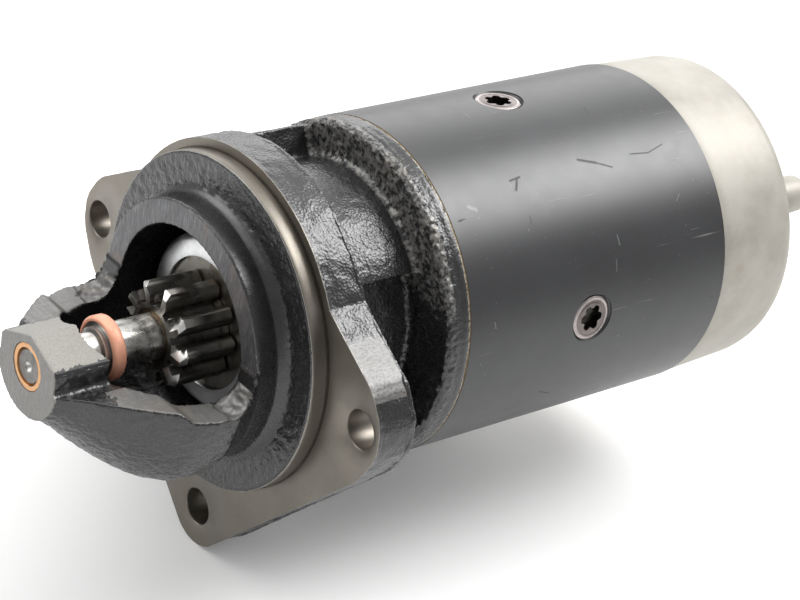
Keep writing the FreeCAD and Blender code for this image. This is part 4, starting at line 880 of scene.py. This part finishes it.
def build_flange():
    """The flange and pilot: crisp turned faces, a rough painted rim and a painted pilot front."""
    rings = rim_rings()
    front_edge = [Vector((p[1], p[2])) for p in rings[0]]
    back_edge = [Vector((p[1], p[2])) for p in rings[-1]]
    front = holed_sheet(front_edge, PILOT_R + PILOT_GROOVE, RING_POINTS, HOLE_R + 0.35, 0)
    hole_profile = [(0, HOLE_R + 0.35), (0.3, HOLE_R + 0.05), (0.8, HOLE_R),
                    (FLANGE_BACK - 0.9, HOLE_R), (FLANGE_BACK - 0.4, HOLE_R + 0.2),
                    (FLANGE_BACK, HOLE_R + 0.6)]
    walls = [lofted(tube_rings(hole_profile, spot, HOLE_POINTS)) for spot in HOLES]
    bore_profile = [(FLANGE_BACK, BORE_EDGE), (FLANGE_BACK - 2, BORE_EDGE)]
    bore = lofted(tube_rings(bore_profile, (0, 0), BORE_POINTS))
    mesh = join("bracket_flange", lofted(rings), front, rough_back(back_edge),
                lofted(pilot_rings()), bore, *walls)
    x, y, z = read_points(mesh)[0].T
    radius = np.hypot(y, z)
    facet = rim_facet(y, z)
    on_rim = (radius > FLANGE_R - 2) & (x > 0.35) & (x < FLANGE_BACK - 0.5)
    hole_gap = np.min([np.hypot(y - s[0], z - s[1]) for s in HOLES], axis=0)
    painted_pilot = (x < PILOT_X + 0.6) & (radius < PILOT_R - 0.2)
    painted = (on_rim | (x > FLANGE_BACK - 1.5)) & (hole_gap > HOLE_R + 0.3)
    bare_and_sheen = 1.0 - (painted | painted_pilot)
    bare_and_sheen = np.where(on_rim & (facet > 0.5) & (hole_gap > HOLE_R + 0.5), 0.55, bare_and_sheen)
    mark(mesh, "bare_and_sheen", bare_and_sheen)
    mark(mesh, "ground", np.where(on_rim, 0.7, 0.0))
    mark(mesh, "calm", np.where(on_rim, facet * 0.85, 0.0))
    add_piece("bracket_flange", mesh, "housing", "black_paint", (CAST, FACE),
              "drive_end_bracket", smooth=50)
    for polygon in mesh.polygons:
        turned_face = all(bare_and_sheen[v] > 0.9 for v in polygon.vertices)
        polygon.material_index = 1 if turned_face else 0


def build_nose():
    """The nose with its window: a cast skin, ground lips and an unpainted machined boss."""
    mesh = cast_chunk("bracket_nose", "drive_end_bracket", NOSE_X - 5, -3.5, NOSE_VOXEL)
    points, normals = read_points(mesh)
    x, y, z = points.T
    radius = np.hypot(y, z)
    slope = (ROOF_APEX - ROOF_EDGE) / ROOF_HALF
    fall = math.hypot(1, slope)
    roof_gap = (z - (ROOF_APEX - slope * np.abs(y))) / fall
    snap = 0.5
    outside = (radius > BORE_R + 1) | (x < SKIN_BACK)
    end_face = x < NOSE_X + snap
    ragged = cast_skin(points, 2.4, 8)
    roof = (np.abs(roof_gap) < snap) & (np.abs(y) < ROOF_HALF + 0.6) & (x < ROOF_BACK)
    roof_bare = roof & (x < ROOF_BARE_BACK + 1.2 * ragged) & (
        np.abs(y) < ROOF_HALF - 0.4 + 0.8 * ragged)
    window_face = (np.abs(x - BAND_X) < snap) & (normals[:, 0] < -0.75) & (radius < BAND_R + 1.5)
    lips = (x > LIP_FRONT + 1.5 * ragged) & (x < BAND_X) & (z < LIP_HIGH) & (z > LIP_LOW) & (
        normals[:, 2] > 0.45) & (radius > BORE_R - 14)
    lips &= (normals[:, 2] > 0.75) | (x > TORN_FRONT + 2)
    bush_bore = (radius < BUSH_BORE_R) & ~end_face
    band = smooth_step(x, BAND_X - 4.5, BAND_X - 2.5)
    end_band = smooth_step(x, PILOT_X - 0.7, PILOT_X - 0.3)
    machined = end_face | roof | window_face | lips | bush_bore
    skin = cast_skin(points, 3.3, 1)
    fine = cast_skin(points, 1.3, 2)
    depth = 0.20 * skin + 0.17 * fine - 0.30
    depth = np.where(outside, depth * (1 - band * (1 - end_band)), depth * 0.5)
    depth = np.where(machined, 0.0, depth)
    torn = lips & (x > TORN_FRONT + 2 * ragged)
    facets = np.floor(2.6 * cast_skin(points, 5.5, 9)) / 2.6
    depth = np.where(torn, 0.5 * skin + 0.5 * facets - 0.75, depth)
    chatter = 0.12 * cast_skin(points * np.array([1, 0.12, 0.4]), 1.1, 3) - 0.08
    depth = np.where(lips & ~torn, chatter, depth)
    points = points + normals * depth[:, None]
    points[end_face, 0] = NOSE_X
    flat = roof & ~end_face
    points[flat, 2] -= roof_gap[flat] / fall
    points[flat, 1] -= (roof_gap * slope / fall * np.sign(y))[flat]
    points[window_face, 0] = BAND_X
    write_points(mesh, points)
    mark(mesh, "bare_and_sheen", np.select([torn, lips, window_face, end_face | roof_bare],
                                 [0.62, 0.75, 0.62, 1.0], 0.0))
    mark(mesh, "ground", np.select([window_face, lips, end_face], [1.0, 0.62, 0.58], 0.0))
    mark(mesh, "calm", np.where(radius > BORE_R + 1, band * (1 - end_band), 0.6))
    add_piece("bracket_nose", mesh, "housing", "black_paint", (CAST,), "drive_end_bracket",
              smooth=60)


def build_neck():
    """The neck, rear ring and lever housing behind the flange, with a heavy cast skin and a painted
    highlight on the rear ring's front face.
    """
    back = BRACKET_HIGH.x
    mesh = cast_chunk("bracket_neck", "drive_end_bracket", FLANGE_BACK - 2.5, back + 5,
                      NECK_VOXEL)
    points, normals = read_points(mesh)
    x, y, z = points.T
    radius = np.hypot(y, z)
    end_face = x > back - 0.5
    inside = (radius < BORE_R + 1) | ((x > RING_FRONT[1]) & (radius < NECK_ROOM_R))
    ring_front = (x > RING_FRONT[0]) & (x < RING_FRONT[1]) & (radius > RING_FRONT_R)
    # Rises from 0 low down to 1 high up: how strongly the painted highlight shows on the ring's
    # front.
    sheen_from_above = smooth_step(z, -2, 24)
    collar = smooth_step(x, back - 3.5, back - 1.5) * (radius > COLLAR_R)
    skin = cast_skin(points, 2.6, 4)
    fine = cast_skin(points, 1.5, 5)
    broad = cast_skin(points, 11, 6)
    depth = 0.08 * skin + 0.12 * fine + 0.2 * broad - 0.36
    depth = np.where(ring_front, 0.6 * cast_skin(points, 1.8, 7) - 0.45, depth)
    depth = np.where(inside | end_face, 0.0, depth * (1 - 0.85 * collar))
    points = points + normals * depth[:, None]
    points[end_face, 0] = back
    write_points(mesh, points)
    # Painted highlight: lighter grey patches on the ring's rough front face, stronger towards the
    # top, stand in for the lamps' glints on its glossy black paint; the ground number of 0.5 there
    # sets their tone.
    painted_sheen = sheen_from_above * (0.50 + 0.20 * cast_skin(points, 1.3, 10))
    mark(mesh, "bare_and_sheen", np.select([end_face, ring_front], [0.9, painted_sheen], 0.0))
    mark(mesh, "ground", np.where(ring_front, 0.5, 0.0))
    mark(mesh, "calm", np.where(inside, 0.7, 0.5 * collar))
    add_piece("bracket_neck", mesh, "housing", "black_paint", (CAST,), "drive_end_bracket",
              smooth=60)


# ---------------------------------------------------------------- other pieces


def worn_piece(node, width=0.0, segments=1, edge_look=None, smooth=32):
    """A CAD node with its sharp edges cut back by width, the cuts in a look of their own."""
    mesh = cad_copy(node)
    work = bmesh.new()
    work.from_mesh(mesh)
    bmesh.ops.dissolve_limit(work, angle_limit=math.radians(0.6), verts=work.verts,
                             edges=work.edges)
    if width:
        sharp = [e for e in work.edges
                 if len(e.link_faces) == 2 and e.calc_face_angle(0) > math.radians(38)]
        bmesh.ops.bevel(work, geom=sharp, offset=width * MM, offset_type="OFFSET",
                        segments=segments, profile=0.5, affect="EDGES", clamp_overlap=True,
                        material=1, loop_slide=True)
    bmesh.ops.triangulate(work, faces=[f for f in work.faces if len(f.verts) > 4])
    work.to_mesh(mesh)
    work.free()
    mesh.name = "worn_" + node
    look = NODE_LOOKS.get(node) or SLOT_LOOKS[SLOTS[node]]
    return add_piece(mesh.name, mesh, NODES[node]["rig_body"], SLOTS[node],
                     (look, edge_look or look), node, smooth=smooth)


def build_pinion():
    """The pinion, bright on its edges and on the slanted fronts of its teeth."""
    pinion = worn_piece("pinion", 0.1, edge_look=PINION_BRIGHT, smooth=22)
    for face in pinion.data.polygons:
        slanted = -0.95 < face.normal.x < -0.3
        if slanted and face.center.x / MM < PINION_FRONT + 3:
            face.material_index = 1


def build_yoke():
    """The yoke, with its round skin shaded as a true cylinder up to the screw holes."""
    yoke = worn_piece("yoke", 0.35, 2, edge_look=WORN_SATIN).data
    corners = np.empty(len(yoke.loops) * 3)
    yoke.corner_normals.foreach_get("vector", corners)
    corners = corners.reshape(-1, 3)
    for loop in yoke.loops:
        place = yoke.vertices[loop.vertex_index].co / MM
        radius = math.hypot(place.y, place.z)
        faces_out = corners[loop.index].dot((0, place.y, place.z)) > 0.8 * radius
        if faces_out and abs(radius - YOKE_R) < 0.1:
            corners[loop.index] = (0, place.y / radius, place.z / radius)
    yoke.normals_split_custom_set([tuple(n) for n in corners])


WORN_WIDTHS = {           # how far each piece's sharp edges are cut back
    "end_cover": 0.8, "stop_ring": 0.14, "thrust_washer": 0.12, "clutch_cover": 0.2,
    "clutch_washer": 0.12, "nose_bush": 0.12, "through_bolts": 0.3, "bolt_washers": 0.2,
    "lever_plug": 0.5, "solenoid_case": 0.6, "solenoid_screws": 0.2, "solenoid_cap": 0.6,
    "terminal_studs": 0.15, "terminal_nuts": 0.3, "terminal_washers": 0.15,
    "switch_terminal": 0.2, "motor_lead": 0.35, "lead_grommet": 0.5,
}


def build_return_spring():
    """The plunger's return spring, given a mesh of its own."""
    return_spring = worn_piece("plunger_return_spring")
    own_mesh(return_spring)


SCREW_X = (box_mm("pole_screws")[0].x + box_mm("pole_screws")[1].x) / 2
SCREW_TOP = YOKE_R - 0.5
SCREW_POINTS = 144
HEAD_RADII = [0.01, 1.2, 2.2, 2.9, *np.linspace(3.2, 5.6, 22),
              6.1, 6.5, 6.8, 7.05, 7.3, 7.5, 7.62, 7.7]
SHANK_RINGS = ((7.6, -0.6), (6.0, -2.3), (4.3, -3.8), (4.3, -6.0))    # radius, height
POLE_TURN = 85.0
SOCKET_R = 4.15
SOCKET_WAVE = 0.62
SOCKET_DEPTH = 2.7
DISH_R = 6.05


def head_height(r, angle, seed):
    """Height of a screw head's surface at a radius and an angle about the screw."""
    wave = math.cos(6 * angle)
    lobe = SOCKET_R + SOCKET_WAVE * wave - 0.18 * wave * wave
    if smooth_step(r, lobe - 0.18, lobe + 0.12) < 0.5:
        return SCREW_TOP - 0.1 - SOCKET_DEPTH - 0.5 * max(0, 1 - r / 3)
    lip = 0.06 * math.exp(-((r - lobe - 0.45) / 0.25) ** 2)
    dish = 0.28 * math.exp(-((r - DISH_R) / 0.55) ** 2)
    edge = 0.35 * smooth_step(r, 7.05, 7.75)
    nick = 0.05 * noise.noise(Vector((r * math.cos(angle), r * math.sin(angle), seed)))
    return SCREW_TOP - 0.1 + lip - dish - edge + nick


def build_pole_screw(name, turn):
    """A countersunk screw head: six-lobe socket painted near-black as shade, dished face and bright
    wear-polished rim.
    """
    angles = [math.tau * k / SCREW_POINTS for k in range(SCREW_POINTS)]
    rings = [[(r, a, head_height(r, a, turn)) for a in angles] for r in HEAD_RADII]
    rings += [[(r, a, SCREW_TOP + h) for a in angles] for r, h in SHANK_RINGS]
    tilt = math.radians(turn)
    placed = []
    for ring in rings:
        row = []
        for r, angle, height in ring:
            across = r * math.sin(angle)
            row.append((SCREW_X + r * math.cos(angle),
                        height * math.cos(tilt) - across * math.sin(tilt),
                        height * math.sin(tilt) + across * math.cos(tilt)))
        placed.append(row)
    mesh = join(name, lofted(placed))
    add_piece(name, mesh, "housing", "screw_steel", (SCREW, SCREW_EDGE, SOCKET_SHADE),
              "pole_screws", smooth=40)
    for face in mesh.polygons:
        middle = face.center / MM
        off = math.hypot(middle.x - SCREW_X,
                         -middle.y * math.sin(tilt) + middle.z * math.cos(tilt))
        height = middle.y * math.cos(tilt) + middle.z * math.sin(tilt)
        # Painted shade: faces down in the socket take the near-black socket material.
        if off < 5.6 and height < SCREW_TOP - 0.35:
            face.material_index = 2
        elif off > 6.5 and height > SCREW_TOP - 0.7:
            face.material_index = 1


build_flange()
build_nose()
build_neck()
build_pinion()
build_yoke()
for worn_node, worn_width in WORN_WIDTHS.items():
    worn_piece(worn_node, worn_width, 2 if worn_width > 0.25 else 1)
build_return_spring()
for quarter in range(4):
    build_pole_screw(f"pole_screw_{quarter + 1}", POLE_TURN + 90 * quarter)

# ---------------------------------------------------------------- room, lights and camera

FLOOR_HALF = 3            # half the floor's width, in metres
FLOOR_STEPS = 24


def build_room():
    """A pale flat floor under an even white sky."""
    low = CAD_BOX[0]
    marks = np.linspace(-FLOOR_HALF, FLOOR_HALF, FLOOR_STEPS + 1) / MM
    vertices = [(x, y, low.z / MM - 0.05) for x in marks for y in marks]
    row = FLOOR_STEPS + 1
    faces = [(i * row + j, (i + 1) * row + j, (i + 1) * row + j + 1, i * row + j + 1)
             for i in range(FLOOR_STEPS) for j in range(FLOOR_STEPS)]
    floor = bpy.data.objects.new("floor", make_mesh("floor", vertices, faces))
    bpy.context.scene.collection.objects.link(floor)
    look = Look("floor_paper")
    look.set(Base_Color=look.colours(look.noise(60, 3), (0.3, (0.88, 0.88, 0.875)),
                                     (0.7, (0.90, 0.90, 0.895))), Roughness=0.85,
             Emission_Color=(1, 1, 1, 1), Emission_Strength=0.12)
    floor.data.materials.append(look.material)
    world = bpy.data.worlds.new("room")
    world.use_nodes = True
    back = world.node_tree.nodes["Background"]
    back.inputs["Color"].default_value = (1, 1, 1, 1)
    back.inputs["Strength"].default_value = 0.5
    bpy.context.scene.world = world


def add_panel(name, place, aim, width, height, power, spread=180):
    """A rectangular light at place, in metres and watts, that faces aim."""
    light = bpy.data.lights.new(name, "AREA")
    light.shape = "RECTANGLE"
    light.size = width
    light.size_y = height
    light.energy = power
    light.spread = math.radians(spread)
    thing = bpy.data.objects.new(name, light)
    bpy.context.scene.collection.objects.link(thing)
    thing.location = place
    thing.rotation_euler = (Vector(aim) - Vector(place)).to_track_quat("-Z", "Y").to_euler()


CAMERA_PLACE = Vector((-0.4325, -0.5388, 0.3900))
CAMERA_RIGHT = Vector((0.7728, -0.6169, 0.1492))
CAMERA_UP = Vector((0.1980, 0.4577, 0.8668))
CAMERA_AHEAD = Vector((0.6030, 0.6403, -0.4758))
CAMERA_LENS = 112.36


def build_camera():
    """The camera at the photograph's angle."""
    data = bpy.data.cameras.new("camera")
    data.lens = CAMERA_LENS
    data.sensor_width = 36
    data.clip_start = 0.01
    data.clip_end = 50
    camera = bpy.data.objects.new("camera", data)
    bpy.context.scene.collection.objects.link(camera)
    turn = Matrix((CAMERA_RIGHT, CAMERA_UP, -CAMERA_AHEAD)).transposed()
    camera.matrix_world = Matrix.Translation(CAMERA_PLACE) @ turn.to_4x4()
    bpy.context.scene.camera = camera


build_room()
MIDDLE = Vector((0.06, 0, 0))
KEY_PLACE = MIDDLE + 0.95 * Vector((0.66, -0.22, 0.72))
FAR_PLACE = MIDDLE + Vector((-0.52, 0.74, 0.68))
add_panel("key_panel", KEY_PLACE, MIDDLE, 0.66, 0.60, 1.35, 50)
add_panel("top_panel", (0.1, 0.35, 1.3), MIDDLE, 1.6, 1.0, 8)
add_panel("back_panel", (0.9, 0.95, 0.55), MIDDLE, 1.2, 0.8, 7)
add_panel("left_panel", (-0.75, 0.15, 0.9), MIDDLE, 0.7, 0.7, 1.5)
add_panel("far_panel", FAR_PLACE, MIDDLE, 0.8, 0.7, 1.1, 70)
build_camera()
bpy.context.scene.view_settings.view_transform = "Standard"
